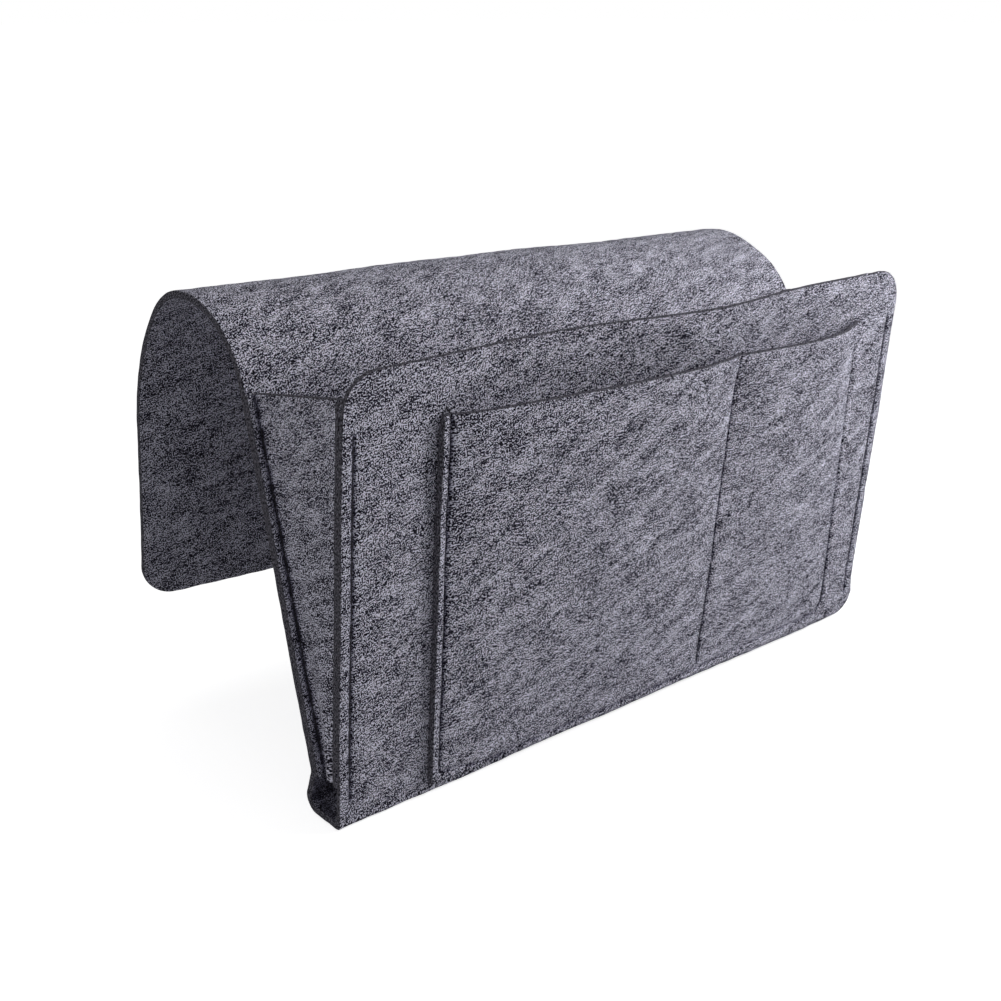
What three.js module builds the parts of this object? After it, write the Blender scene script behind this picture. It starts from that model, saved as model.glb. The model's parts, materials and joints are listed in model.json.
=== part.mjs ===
// Armrest organizer: a felt pouch hung from a saddle over a sofa or chair arm, with a plain flap behind it.
// Millimetres, +Z up. X runs along the arm, the pouch is on the -Y side and the flap on the +Y side.
// The origin is on the underside of the saddle's crown, at mid-length, where the arm carries it.
import * as THREE from 'three';

// Felt and clearances
const FELT = 3; // thickness of the felt
const SEAT_GAP = 0.3; // between pieces that lie on each other
const HINGE_GAP = 0.5; // between two pieces that meet at a bend

// The long cut of felt, from the crown of the saddle to both ends
const LENGTH = 320; // along the arm
const CROWN_FRONT_RADIUS = 37; // saddle, from the crown to the back panel
const CROWN_REAR_RADIUS = 40; // saddle, from the crown to the flap
const CROWN_REAR_TURN = 52; // degrees that the saddle turns behind the crown
const CROWN_DROP = 10; // how much lower the crown lies at the right end than at the left
const CROWN_DROP_POWER = 1.5; // 1 is an even slope, more keeps the left end level for longer
const SHOULDER_RADIUS = 101; // slow bend at the top of the flap
const FLAP_LEAN = 7; // degrees off plumb, outwards
const FLAP_RUN = 82; // straight part of the flap
const FLAP_CORNER = 15; // radius of its lower corners
const FLAP_BOW = 8; // how far the flap's middle hangs in towards the arm from its two ends
const BACK_HEIGHT = 151; // back panel, bend to base
const BACK_LEAN = 14; // degrees off plumb, top towards the arm
const PINCH_RADIUS = 6; // where the back panel turns out into the base
const PINCH_RUN = 2.5;
const BASE_RADIUS = 8.5; // round fold at the back of the base
const BASE_TURN = 116; // degrees that it turns
const BASE_RUN = 9.5; // flat base, from the round fold to the front crease
const FRONT_HEIGHT = 181.5; // front panel above the crease
const FRONT_LEAN = 4.6; // degrees off plumb, top outwards
const FRONT_CORNER = 15; // radius of its upper corners

// Gussets
const GUSSET_RECESS = 6; // how far the side panel sits in from the ends of the front and back panels
const GUSSET_BEND = 1; // inner radius where an edge is turned out
const GUSSET_LOW_FRONT = 19; // lower end above the crease, up the front panel
const GUSSET_TOP_FRONT = 171; // upper end, up the front panel
const GUSSET_LOW_BACK = 1; // lower end above the base, up the back panel
const GUSSET_TOP_BACK = 146; // upper end, up the back panel

// Patch pocket on the front panel
const POCKET_LEFT = 42; // left edge, from the panel's left edge
const POCKET_RIGHT = 24.5; // right edge, from the panel's right edge, at the bottom
const POCKET_RIGHT_SKEW = 7; // how much further in the right edge lies at the mouth
const POCKET_LOW = 4.5; // lower edge above the crease
const POCKET_HEIGHT = 156;
const POCKET_SWELL = 11; // how far the mouth stands off the panel where a compartment is fullest
const POCKET_FULLNESS = 0.5; // less than 1 fills a compartment out, across and down from the mouth
const POCKET_LEAN = 1.4; // more than 1 moves the fullest part towards the divider
const POCKET_SEAM = 2.7; // stitches, in from the pocket's edges
const POCKET_SEAM_CORNER = 8; // radius of the stitches' corner at the lower right
const DIVIDER_LEFT = 199; // divider seam, from the panel's left edge, at the bottom
const DIVIDER_SKEW = 4; // how much further right it lies at the mouth

// Sewing thread
const THREAD = 0.8; // diameter
const SEAM_INSET = 5.3; // gusset seams, in from the ends of the panels
const SEAM_END = 4; // gusset seams and the divider start this far up
const SEAM_TOP = 12; // gusset seams stop this far below the top of the gusset
const GROOVE_DEPTH = 1.2; // the stitches on the arm side lie in a groove, and the felt bears flat on the arm
const GROOVE_WIDTH = 2.8; // at the face of the felt
const GROOVE_RAMP = 2; // how far each end of a groove runs out

// Fineness of the round parts
const BEND_STEP = 9; // degrees
const CORNER_STEPS = 6;
const GUSSET_BEND_STEPS = 3;
const CROWN_COLUMNS = 8;
const FLAP_COLUMNS = 9; // odd, so that the middle one is flat
const POCKET_COLUMNS = 8; // in each compartment
const POCKET_ROWS = 8;
const THREAD_SIDES = 6;

const radians = THREE.MathUtils.degToRad;
const degrees = THREE.MathUtils.radToDeg;
const halfLength = LENGTH / 2;
const halfFelt = FELT / 2;
const hingeClear = halfFelt + HINGE_GAP; // from a bend's axis to the flat end of the felt that stays
const threadSeat = SEAT_GAP + THREAD / 2; // from a face of the felt to the middle of the thread on it

/** A line through the middle of the felt in the plane of Y and Z: straight runs and round bends in turn. */
class BendLine {
  constructor({ y, z, heading }) {
    this.points = [{ y, z, heading }];
  }

  get end() {
    return this.points.at(-1);
  }

  run(length) {
    const { y, z, heading } = this.end;
    this.points.push({ y: y + length * Math.cos(heading), z: z + length * Math.sin(heading), heading });
    return this;
  }

  /** Turns left for positive degrees and right for negative ones. */
  bend(radius, turn) {
    const { y, z, heading } = this.end;
    const steps = Math.max(1, Math.round(Math.abs(turn) / BEND_STEP));
    const side = Math.sign(turn) * radius;
    for (let step = 1; step <= steps; step += 1) {
      const now = heading + (radians(turn) * step) / steps;
      this.points.push({
        y: y + side * (Math.sin(now) - Math.sin(heading)),
        z: z - side * (Math.cos(now) - Math.cos(heading)),
        heading: now,
      });
    }
    return this;
  }

  /** Forgets the way so far, so that the line starts here. */
  startHere() {
    this.points = [this.end];
    return this;
  }
}

/** The flat end of a solid: triangles over a ring of points, facing along the ring's own normal. */
function capTriangles(ring) {
  const normal = new THREE.Vector3();
  ring.forEach((point, i) => {
    normal.add(point.clone().cross(ring[(i + 1) % ring.length]));
  });
  normal.normalize();
  const right = ring[1].clone().sub(ring[0]).normalize();
  const up = normal.clone().cross(right);
  const flat = ring.map((point) => new THREE.Vector2(point.dot(right), point.dot(up)));
  return THREE.ShapeUtils.triangulateShape(flat, []).map(([a, b, c]) => {
    const turn = flat[b].clone().sub(flat[a]).cross(flat[c].clone().sub(flat[a]));
    return turn > 0 ? [a, b, c] : [a, c, b];
  });
}

/** A closed solid through rings of as many points each, with flat ends and its faces outwards. */
function loft(rings) {
  const count = rings[0].length;
  const last = (rings.length - 1) * count;
  const triangles = capTriangles(rings[0]).map(([a, b, c]) => [a, c, b]);
  for (let row = 0; row < last; row += count) {
    for (let i = 0; i < count; i += 1) {
      const next = (i + 1) % count;
      triangles.push([row + i, row + next, row + count + next]);
      triangles.push([row + i, row + count + next, row + count + i]);
    }
  }
  triangles.push(...capTriangles(rings.at(-1)).map((corners) => corners.map((i) => last + i)));
  const points = rings.flat();
  const wedge = ([a, b, c]) => points[a].dot(points[b].clone().cross(points[c]));
  const volume = triangles.reduce((sum, corners) => sum + wedge(corners), 0);
  const outwards = volume > 0 ? triangles : triangles.map(([a, b, c]) => [a, c, b]);
  const geometry = new THREE.BufferGeometry().setFromPoints(points);
  geometry.setIndex(outwards.flat());
  geometry.computeVertexNormals();
  return geometry;
}

/** Stations of a half-round nose, in front of a station that the felt turns about. */
function noseStations(station) {
  return Array.from({ length: CORNER_STEPS }, (_, step) => {
    const angle = ((step + 0.5) / CORNER_STEPS) * (Math.PI / 2);
    const back = halfFelt * Math.cos(angle);
    return {
      ...station,
      y: station.y - back * Math.cos(station.heading),
      z: station.z - back * Math.sin(station.heading),
      half: halfFelt * Math.sin(angle),
    };
  });
}

/** Stations of the round corners at the far end of a strip: the felt narrows as it runs out. */
function cornerStations(station, radius) {
  return Array.from({ length: CORNER_STEPS }, (_, step) => {
    const angle = ((step + 1) / CORNER_STEPS) * (Math.PI / 2);
    const on = radius * Math.sin(angle);
    return {
      ...station,
      y: station.y + on * Math.cos(station.heading),
      z: station.z + on * Math.sin(station.heading),
      reach: halfLength - radius + radius * Math.cos(angle),
    };
  });
}

/** A strip of felt across the whole length, through stations of its bend line. */
function feltStrip(stations, { columns = 1, dropAt = () => 0, bowAt = () => 0, grooveAt = [] } = {}) {
  return loft(stations.map((station) => {
    const { y, z, heading, half = halfFelt, reach = halfLength, groove = 0 } = station;
    const at = (x, off) => new THREE.Vector3(
      x,
      y - (off - bowAt(x, station)) * Math.sin(heading),
      z + (off - bowAt(x, station)) * Math.cos(heading) - dropAt(x, station),
    );
    const edges = Array.from({ length: columns + 1 }, (_, column) => reach * ((2 * column) / columns - 1));
    const grooves = grooveAt.flatMap((x) => [
      at(x - GROOVE_WIDTH / 2, half),
      at(x - GROOVE_WIDTH / 4, half - groove),
      at(x + GROOVE_WIDTH / 4, half - groove),
      at(x + GROOVE_WIDTH / 2, half),
    ]);
    const armSide = [...edges.map((x) => at(x, half)), ...grooves].sort((a, b) => a.x - b.x);
    const otherSide = edges.map((x) => at(x, -half)).reverse();
    return [...armSide, ...otherSide];
  }));
}

/** A thread along points on a face of the felt, with flat ends. */
function thread(points, faceNormal) {
  return loft(points.map((point, i) => {
    const before = points[Math.max(i - 1, 0)];
    const after = points[Math.min(i + 1, points.length - 1)];
    const side = after.clone().sub(before).cross(faceNormal).normalize();
    return Array.from({ length: THREAD_SIDES }, (_, step) => {
      const angle = (step / THREAD_SIDES) * 2 * Math.PI;
      return point.clone()
        .addScaledVector(side, (THREAD / 2) * Math.cos(angle))
        .addScaledVector(faceNormal, (THREAD / 2) * Math.sin(angle));
    });
  }));
}

const FELT_FINISH = { color: 0x77757f, roughness: 1, metalness: 0 };
const THREAD_FINISH = { color: 0x2c2b33, roughness: 0.7, metalness: 0 };
const feltMaterial = () => new THREE.MeshStandardMaterial(FELT_FINISH);
const threadMaterial = () => new THREE.MeshStandardMaterial(THREAD_FINISH);

/** A named piece of the organizer. */
function piece(name, geometry, material) {
  const mesh = new THREE.Mesh(geometry, material);
  mesh.name = name;
  return mesh;
}

const organizer = new THREE.Group();

// Bend lines and the axes that the felt folds about
const crownDropAt = (x) => CROWN_DROP * ((x + halfLength) / LENGTH) ** CROWN_DROP_POWER;
const crown = { y: 0, z: halfFelt + crownDropAt(0) };
const frontTurn = 90 - BACK_LEAN;
const flapTurn = 90 - FLAP_LEAN - CROWN_REAR_TURN;
const pouchHinge = new BendLine({ ...crown, heading: Math.PI }).bend(CROWN_FRONT_RADIUS, frontTurn).end;
const flapHinge = new BendLine({ ...crown, heading: 0 }).bend(CROWN_REAR_RADIUS, -CROWN_REAR_TURN).end;
const backLine = new BendLine(pouchHinge)
  .run(BACK_HEIGHT)
  .bend(PINCH_RADIUS, BASE_TURN - frontTurn)
  .run(PINCH_RUN)
  .bend(BASE_RADIUS, -BASE_TURN)
  .run(BASE_RUN - hingeClear);
const crease = { y: backLine.end.y - hingeClear, z: backLine.end.z };

// Saddle: from bend to bend over the crown, which sinks a little towards the right end
const frontTrim = degrees(hingeClear / CROWN_FRONT_RADIUS);
const rearTrim = degrees(hingeClear / CROWN_REAR_RADIUS);
const saddleLine = new BendLine({ ...pouchHinge, heading: pouchHinge.heading - Math.PI })
  .bend(CROWN_FRONT_RADIUS, -frontTrim)
  .startHere()
  .bend(CROWN_FRONT_RADIUS, frontTrim - frontTurn)
  .bend(CROWN_REAR_RADIUS, rearTrim - CROWN_REAR_TURN);
const saddleStart = saddleLine.points[0].heading;
const saddleTurn = saddleStart - saddleLine.end.heading;
const sink = (x, { heading }) => crownDropAt(x) * Math.sin((Math.PI * (saddleStart - heading)) / saddleTurn);
const saddleStrip = feltStrip(saddleLine.points, { columns: CROWN_COLUMNS, dropAt: sink });
organizer.add(piece('saddle', saddleStrip, feltMaterial()));

// Rear flap: a slow bend, then a straight hanging part with round lower corners, bowed between its ends
const flapLine = new BendLine(flapHinge)
  .bend(SHOULDER_RADIUS, -flapTurn)
  .run(FLAP_RUN - FLAP_CORNER);
const flapStations = [
  ...noseStations(flapHinge),
  ...flapLine.points,
  ...cornerStations(flapLine.end, FLAP_CORNER),
];
const bow = (x, { heading }) => {
  const bent = THREE.MathUtils.smoothstep(flapHinge.heading - heading, 0, radians(flapTurn));
  return FLAP_BOW * (1 - (x / halfLength) ** 2) * bent;
};
const flapStrip = feltStrip(flapStations, { columns: FLAP_COLUMNS, bowAt: bow });
organizer.add(piece('rear_flap', flapStrip, feltMaterial()));

// Back panel with the base fold, down from the saddle and forwards to the crease
const pouch = new THREE.Group();
organizer.add(pouch);
const [backTop, backFoot, ...baseBend] = backLine.points;
const backSeam = [GUSSET_LOW_BACK + SEAM_END, GUSSET_TOP_BACK - SEAM_TOP];
const upBack = (height, groove) => ({ ...new BendLine(backFoot).run(-height).end, groove });
const backStations = [
  ...noseStations(pouchHinge),
  backTop,
  upBack(backSeam[1] + SEAT_GAP + GROOVE_RAMP, 0),
  upBack(backSeam[1] + SEAT_GAP, GROOVE_DEPTH),
  upBack(backSeam[0] - SEAT_GAP, GROOVE_DEPTH),
  upBack(backSeam[0] - SEAT_GAP - GROOVE_RAMP, 0),
  backFoot,
  ...baseBend,
];
const seamAt = halfLength - SEAM_INSET;
pouch.add(piece('back_panel', feltStrip(backStations, { grooveAt: [-seamAt, seamAt] }), feltMaterial()));

// Front panel, in its own frame: Z up the panel from the crease, Y towards the pouch's inside
const front = new THREE.Group();
front.position.set(0, crease.y, crease.z);
front.rotation.x = radians(FRONT_LEAN);
organizer.add(front);
const frontFoot = { y: 0, z: 0, heading: Math.PI / 2 };
const frontLine = new BendLine(frontFoot).run(FRONT_HEIGHT - FRONT_CORNER);
const frontStations = [
  ...noseStations(frontFoot),
  ...frontLine.points,
  ...cornerStations(frontLine.end, FRONT_CORNER),
];
front.add(piece('front_panel', feltStrip(frontStations), feltMaterial()));

// Back panel's frame: Z up the panel from the base's bend, Y towards the arm
const back = new THREE.Group();
back.position.set(0, backFoot.y, backFoot.z);
back.rotation.x = -radians(BACK_LEAN);
pouch.add(back);
front.updateMatrixWorld();
pouch.updateMatrixWorld();

/** A point on the inner face of the front or back panel, at a height up the panel. */
function onInnerFace(panel, outwards, height) {
  return panel.localToWorld(new THREE.Vector3(0, outwards * (halfFelt + SEAT_GAP), height));
}

/** A gusset's outline at one height: a channel whose two turned-out edges end flush with the panels. */
function gussetRing(side, frontPoint, backPoint) {
  const across = backPoint.clone().sub(frontPoint);
  const width = across.length();
  across.normalize();
  const inner = GUSSET_RECESS + FELT;
  const outerBend = GUSSET_BEND + FELT;
  const outline = new THREE.Path();
  outline.moveTo(0, 0);
  outline.absarc(outerBend, inner - outerBend, outerBend, Math.PI, Math.PI / 2, true);
  outline.absarc(width - outerBend, inner - outerBend, outerBend, Math.PI / 2, 0, true);
  outline.lineTo(width, 0);
  outline.lineTo(width - FELT, 0);
  outline.absarc(width - outerBend, GUSSET_RECESS - GUSSET_BEND, GUSSET_BEND, 0, Math.PI / 2, false);
  outline.absarc(outerBend, GUSSET_RECESS - GUSSET_BEND, GUSSET_BEND, Math.PI / 2, Math.PI, false);
  outline.lineTo(FELT, 0);
  return outline.getPoints(GUSSET_BEND_STEPS).map((point) => {
    const at = frontPoint.clone().addScaledVector(across, point.x);
    return at.setX(side * (halfLength - point.y));
  });
}

/** A seam of a gusset: a needle thread on one face of the two layers and a bobbin thread on the other. */
function gussetSeam(name, side, panel, ends, needleFace, bobbinFace) {
  const faces = { needle_thread: needleFace, bobbin_thread: bobbinFace };
  for (const [kind, face] of Object.entries(faces)) {
    const y = face + Math.sign(face) * threadSeat;
    const points = ends.map((height) => new THREE.Vector3(side * seamAt, y, height));
    const normal = new THREE.Vector3(0, Math.sign(face), 0);
    panel.add(piece(`${name}_${kind}`, thread(points, normal), threadMaterial()));
  }
}

// Gussets and their seams, at both ends
const singleFace = halfFelt;
const grooveFace = halfFelt - GROOVE_DEPTH;
const doubleFace = halfFelt + SEAT_GAP + FELT;
const frontSeam = [GUSSET_LOW_FRONT + SEAM_END, GUSSET_TOP_FRONT - SEAM_TOP];
for (const [name, side] of [['left', -1], ['right', 1]]) {
  const rings = [[GUSSET_LOW_FRONT, GUSSET_LOW_BACK], [GUSSET_TOP_FRONT, GUSSET_TOP_BACK]].map(
    ([up, upBack]) => gussetRing(side, onInnerFace(front, 1, up), onInnerFace(back, -1, upBack)),
  );
  pouch.add(piece(`${name}_gusset`, loft(rings), feltMaterial()));
  gussetSeam(`${name}_front`, side, front, frontSeam, -singleFace, doubleFace);
  gussetSeam(`${name}_back`, side, back, backSeam, -doubleFace, grooveFace);
}

// Patch pocket: sewn down at its edges and the divider, swelling to an open mouth between the seams
const pocketTop = POCKET_LOW + POCKET_HEIGHT;
const seamLow = POCKET_LOW + POCKET_SEAM;
const pocketShare = (height) => (height - POCKET_LOW) / POCKET_HEIGHT;
const leftEdge = () => POCKET_LEFT - halfLength;
const rightEdge = (height) => halfLength - POCKET_RIGHT - POCKET_RIGHT_SKEW * pocketShare(height);
const leftSeam = (height) => leftEdge(height) + POCKET_SEAM;
const rightSeam = (height) => rightEdge(height) - POCKET_SEAM;
const divider = (height) => DIVIDER_LEFT - halfLength + DIVIDER_SKEW * pocketShare(height);

/** How far the pocket stands off the panel, at a share of the way from a side seam to the divider. */
function pocketSwell(share, height) {
  const rise = Math.max(0, (height - seamLow) / (pocketTop - seamLow));
  const bulge = Math.max(0, Math.sin(Math.PI * share ** POCKET_LEAN));
  return POCKET_SWELL * (bulge * rise) ** POCKET_FULLNESS;
}

/** One column of the pocket: up its inner face and down its outer one, between two lines up the panel. */
function pocketRing(from, to, share, swells) {
  const heights = [POCKET_LOW];
  for (let row = 0; row <= POCKET_ROWS; row += 1) {
    heights.push(seamLow + ((pocketTop - seamLow) * row) / POCKET_ROWS);
  }
  const face = (depth) => heights.map((height) => {
    const swell = swells ? pocketSwell(share, height) : 0;
    const x = THREE.MathUtils.lerp(from(height), to(height), share);
    return new THREE.Vector3(x, -halfFelt - SEAT_GAP - depth - swell, height);
  });
  return [...face(0), ...face(FELT).reverse()];
}

const pocketRings = [pocketRing(leftEdge, leftEdge, 0, false)];
for (let column = 0; column <= POCKET_COLUMNS; column += 1) {
  pocketRings.push(pocketRing(leftSeam, divider, column / POCKET_COLUMNS, true));
}
for (let column = POCKET_COLUMNS - 1; column >= 0; column -= 1) {
  pocketRings.push(pocketRing(rightSeam, divider, column / POCKET_COLUMNS, true));
}
pocketRings.push(pocketRing(rightEdge, rightEdge, 0, false));
front.add(piece('front_pocket', loft(pocketRings), feltMaterial()));

/** The pocket's stitch line as (x, height) pairs: down the left side, along the bottom and up the right. */
function borderLine() {
  const top = pocketTop - POCKET_SEAM;
  const corner = seamLow + POCKET_SEAM_CORNER;
  const centre = rightSeam(corner) - POCKET_SEAM_CORNER;
  const line = [[leftSeam(top), top], [leftSeam(seamLow), seamLow], [centre, seamLow]];
  for (let step = 1; step <= CORNER_STEPS; step += 1) {
    const angle = (step / CORNER_STEPS) * (Math.PI / 2);
    line.push([centre + POCKET_SEAM_CORNER * Math.sin(angle), corner - POCKET_SEAM_CORNER * Math.cos(angle)]);
  }
  line.push([rightSeam(top), top]);
  return line;
}

// Pocket seams: needle thread on the pocket's face, bobbin thread on the front panel's inner face
const dividerEnds = [seamLow + SEAM_END, pocketTop - POCKET_SEAM];
const pocketSeams = {
  pocket: borderLine(),
  divider: dividerEnds.map((height) => [divider(height), height]),
};
for (const [name, line] of Object.entries(pocketSeams)) {
  const faces = { needle_thread: -doubleFace, bobbin_thread: singleFace };
  for (const [kind, face] of Object.entries(faces)) {
    const y = face + Math.sign(face) * threadSeat;
    const points = line.map(([x, height]) => new THREE.Vector3(x, y, height));
    const normal = new THREE.Vector3(0, Math.sign(face), 0);
    front.add(piece(`${name}_${kind}`, thread(points, normal), threadMaterial()));
  }
}

export default organizer;
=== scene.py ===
"""Looks of a felt armrest organizer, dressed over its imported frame.

Lengths are millimetres in the frame of the part: +X along the arm, +Y from the pouch over the arm to the rear
flap, +Z up, with the origin under the crown of the saddle. Meshes are written in metres.
"""
import json
import logging
import math
from dataclasses import dataclass, field
from enum import Enum
from typing import Callable, Optional, Sequence

import bpy
import numpy as np
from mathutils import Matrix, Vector


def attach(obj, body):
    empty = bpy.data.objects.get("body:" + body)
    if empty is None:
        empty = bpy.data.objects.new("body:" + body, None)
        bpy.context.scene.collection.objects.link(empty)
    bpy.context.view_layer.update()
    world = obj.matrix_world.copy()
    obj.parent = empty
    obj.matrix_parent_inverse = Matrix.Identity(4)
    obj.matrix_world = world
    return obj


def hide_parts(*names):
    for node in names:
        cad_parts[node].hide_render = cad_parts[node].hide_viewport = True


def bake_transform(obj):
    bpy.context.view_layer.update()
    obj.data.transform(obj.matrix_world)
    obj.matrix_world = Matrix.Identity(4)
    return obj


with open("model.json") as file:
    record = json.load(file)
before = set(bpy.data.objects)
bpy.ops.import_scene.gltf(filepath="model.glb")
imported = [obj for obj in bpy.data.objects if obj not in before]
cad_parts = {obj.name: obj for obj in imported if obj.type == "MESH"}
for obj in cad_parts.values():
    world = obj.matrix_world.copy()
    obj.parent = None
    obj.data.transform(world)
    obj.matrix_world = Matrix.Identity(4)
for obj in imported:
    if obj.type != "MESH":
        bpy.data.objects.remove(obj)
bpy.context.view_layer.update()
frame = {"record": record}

Array = np.ndarray
Material = bpy.types.Material
Piece = bpy.types.Object
Socket = bpy.types.NodeSocket
Stops = Sequence[tuple[float, str]]
Tree = bpy.types.NodeTree

LOG = logging.getLogger("armrest_organizer")
MM = 0.001
JOINTS = frame["record"]["behaviour"]["joints"]
PIVOT_YZ = {joint["name"]: np.array(joint["pos_m"][1:]) / MM for joint in JOINTS}
WHITE = (1.0, 1.0, 1.0, 1.0)


class Body(Enum):
    """The bodies of the frame that a piece can ride on."""

    SADDLE = "saddle"
    FLAP = "flap"
    POUCH = "pouch"
    FRONT = "front"


class Slot(Enum):
    """The material slots of the record."""

    FELT = "felt"
    THREAD = "thread"


class Held(Enum):
    """How a sheet of felt is held."""

    HUNG = "hung"
    STRETCHED = "stretched"


class Side(Enum):
    """An end of the pouch, as the sign of its place along X."""

    LEFT = -1
    RIGHT = 1


def linear(colour: str) -> tuple[float, float, float, float]:
    """Turn an sRGB hex colour into the linear colour that a shader takes.

    Args:
        colour: six hex digits after a hash sign.

    Returns:
        Red, green, blue and alpha.
    """
    channels = [int(colour[place:place + 2], 16) / 255 for place in (1, 3, 5)]
    bent = [c / 12.92 if c <= 0.04045 else ((c + 0.055) / 1.055) ** 2.4 for c in channels]
    return (bent[0], bent[1], bent[2], 1.0)


def add_node(tree: Tree, kind: str, inputs: Optional[dict] = None, stops: Stops = (),
             **settings) -> bpy.types.Node:
    """Add one shader node with its settings and links.

    Args:
        tree: the material's or world's node tree.
        kind: the node type after ShaderNode, such as "TexNoise".
        inputs: socket name or number to a value, or to the output socket that feeds it.
        stops: places from 0 to 1 with hex colours, where the node has a colour ramp.
        settings: attributes of the node itself.

    Returns:
        The new node.
    """
    node = tree.nodes.new("ShaderNode" + kind)
    for key, value in settings.items():
        setattr(node, key, value)
    for key, value in (inputs or {}).items():
        if isinstance(value, Socket):
            tree.links.new(value, node.inputs[key])
        else:
            node.inputs[key].default_value = value
    for _ in stops[2:]:
        node.color_ramp.elements.new(0.5)
    for number, (place, colour) in enumerate(stops):
        node.color_ramp.elements[number].position = place
        node.color_ramp.elements[number].color = linear(colour)
    return node


def new_material(name: str) -> tuple[Material, Tree]:
    """Make an empty node material and return it with its tree."""
    material = bpy.data.materials.new(name)
    material.use_nodes = True
    material.node_tree.nodes.clear()
    return material, material.node_tree


def felt_noise(tree: Tree, place: Socket, size_mm: tuple[float, float], detail: float) -> Socket:
    """Add noise whose lumps have a length and a width in mm, and return its value."""
    scaled = add_node(tree, "Mapping", {
        "Vector": place, "Scale": (1 / (size_mm[0] * MM), 1 / (size_mm[1] * MM), 1.0)}).outputs["Vector"]
    return add_node(tree, "TexNoise", {"Vector": scaled, "Scale": 1.0, "Detail": detail, "Roughness": 0.6},
                    noise_dimensions="2D").outputs["Fac"]


def close_surface(tree: Tree, shade: Socket, stops: Stops, height: Socket, relief: tuple[float, float],
                  inputs: dict) -> None:
    """Colour a pattern, raise it as relief and send both to one surface.

    Args:
        tree: the material's node tree.
        shade: what the colours follow.
        stops: places on the shade with hex colours.
        height: what the relief follows.
        relief: strength of the relief from 0 to 1, and its depth in mm.
        inputs: the other values of the surface.
    """
    colours = add_node(tree, "ValToRGB", {"Fac": shade}, stops).outputs["Color"]
    bump = add_node(tree, "Bump", {
        "Height": height, "Strength": relief[0], "Distance": relief[1] * MM}).outputs["Normal"]
    shader = add_node(tree, "BsdfPrincipled", {"Base Color": colours, "Normal": bump, **inputs})
    add_node(tree, "OutputMaterial", {"Surface": shader.outputs["BSDF"]})


@dataclass(frozen=True)
class FibreLayer:
    """One layer of the felt's pattern: lumps of a length and a width in mm, turned by some degrees."""

    size_mm: tuple[float, float]
    weight: float
    turn_deg: float = 0.0
    detail: float = 0.0
    curled: bool = False
    shift: tuple[float, float, float] = (0.0, 0.0, 0.0)


STRANDS = FibreLayer((2.5, 0.42), 0.97, turn_deg=24.0, detail=0.5, curled=True)
CROSSING_STRANDS = FibreLayer((2.5, 0.42), 0.97, turn_deg=9.0, detail=0.5, curled=True, shift=(3.1, 1.7, 0.0))
FLECKS = FibreLayer((0.565, 0.565), 2.1, curled=True)
WISPS = FibreLayer((10.0, 3.1), 0.52, turn_deg=20.0, detail=0.5)
CLOUD = FibreLayer((24.0, 8.0), 0.45, turn_deg=20.0, detail=1.0)


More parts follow.
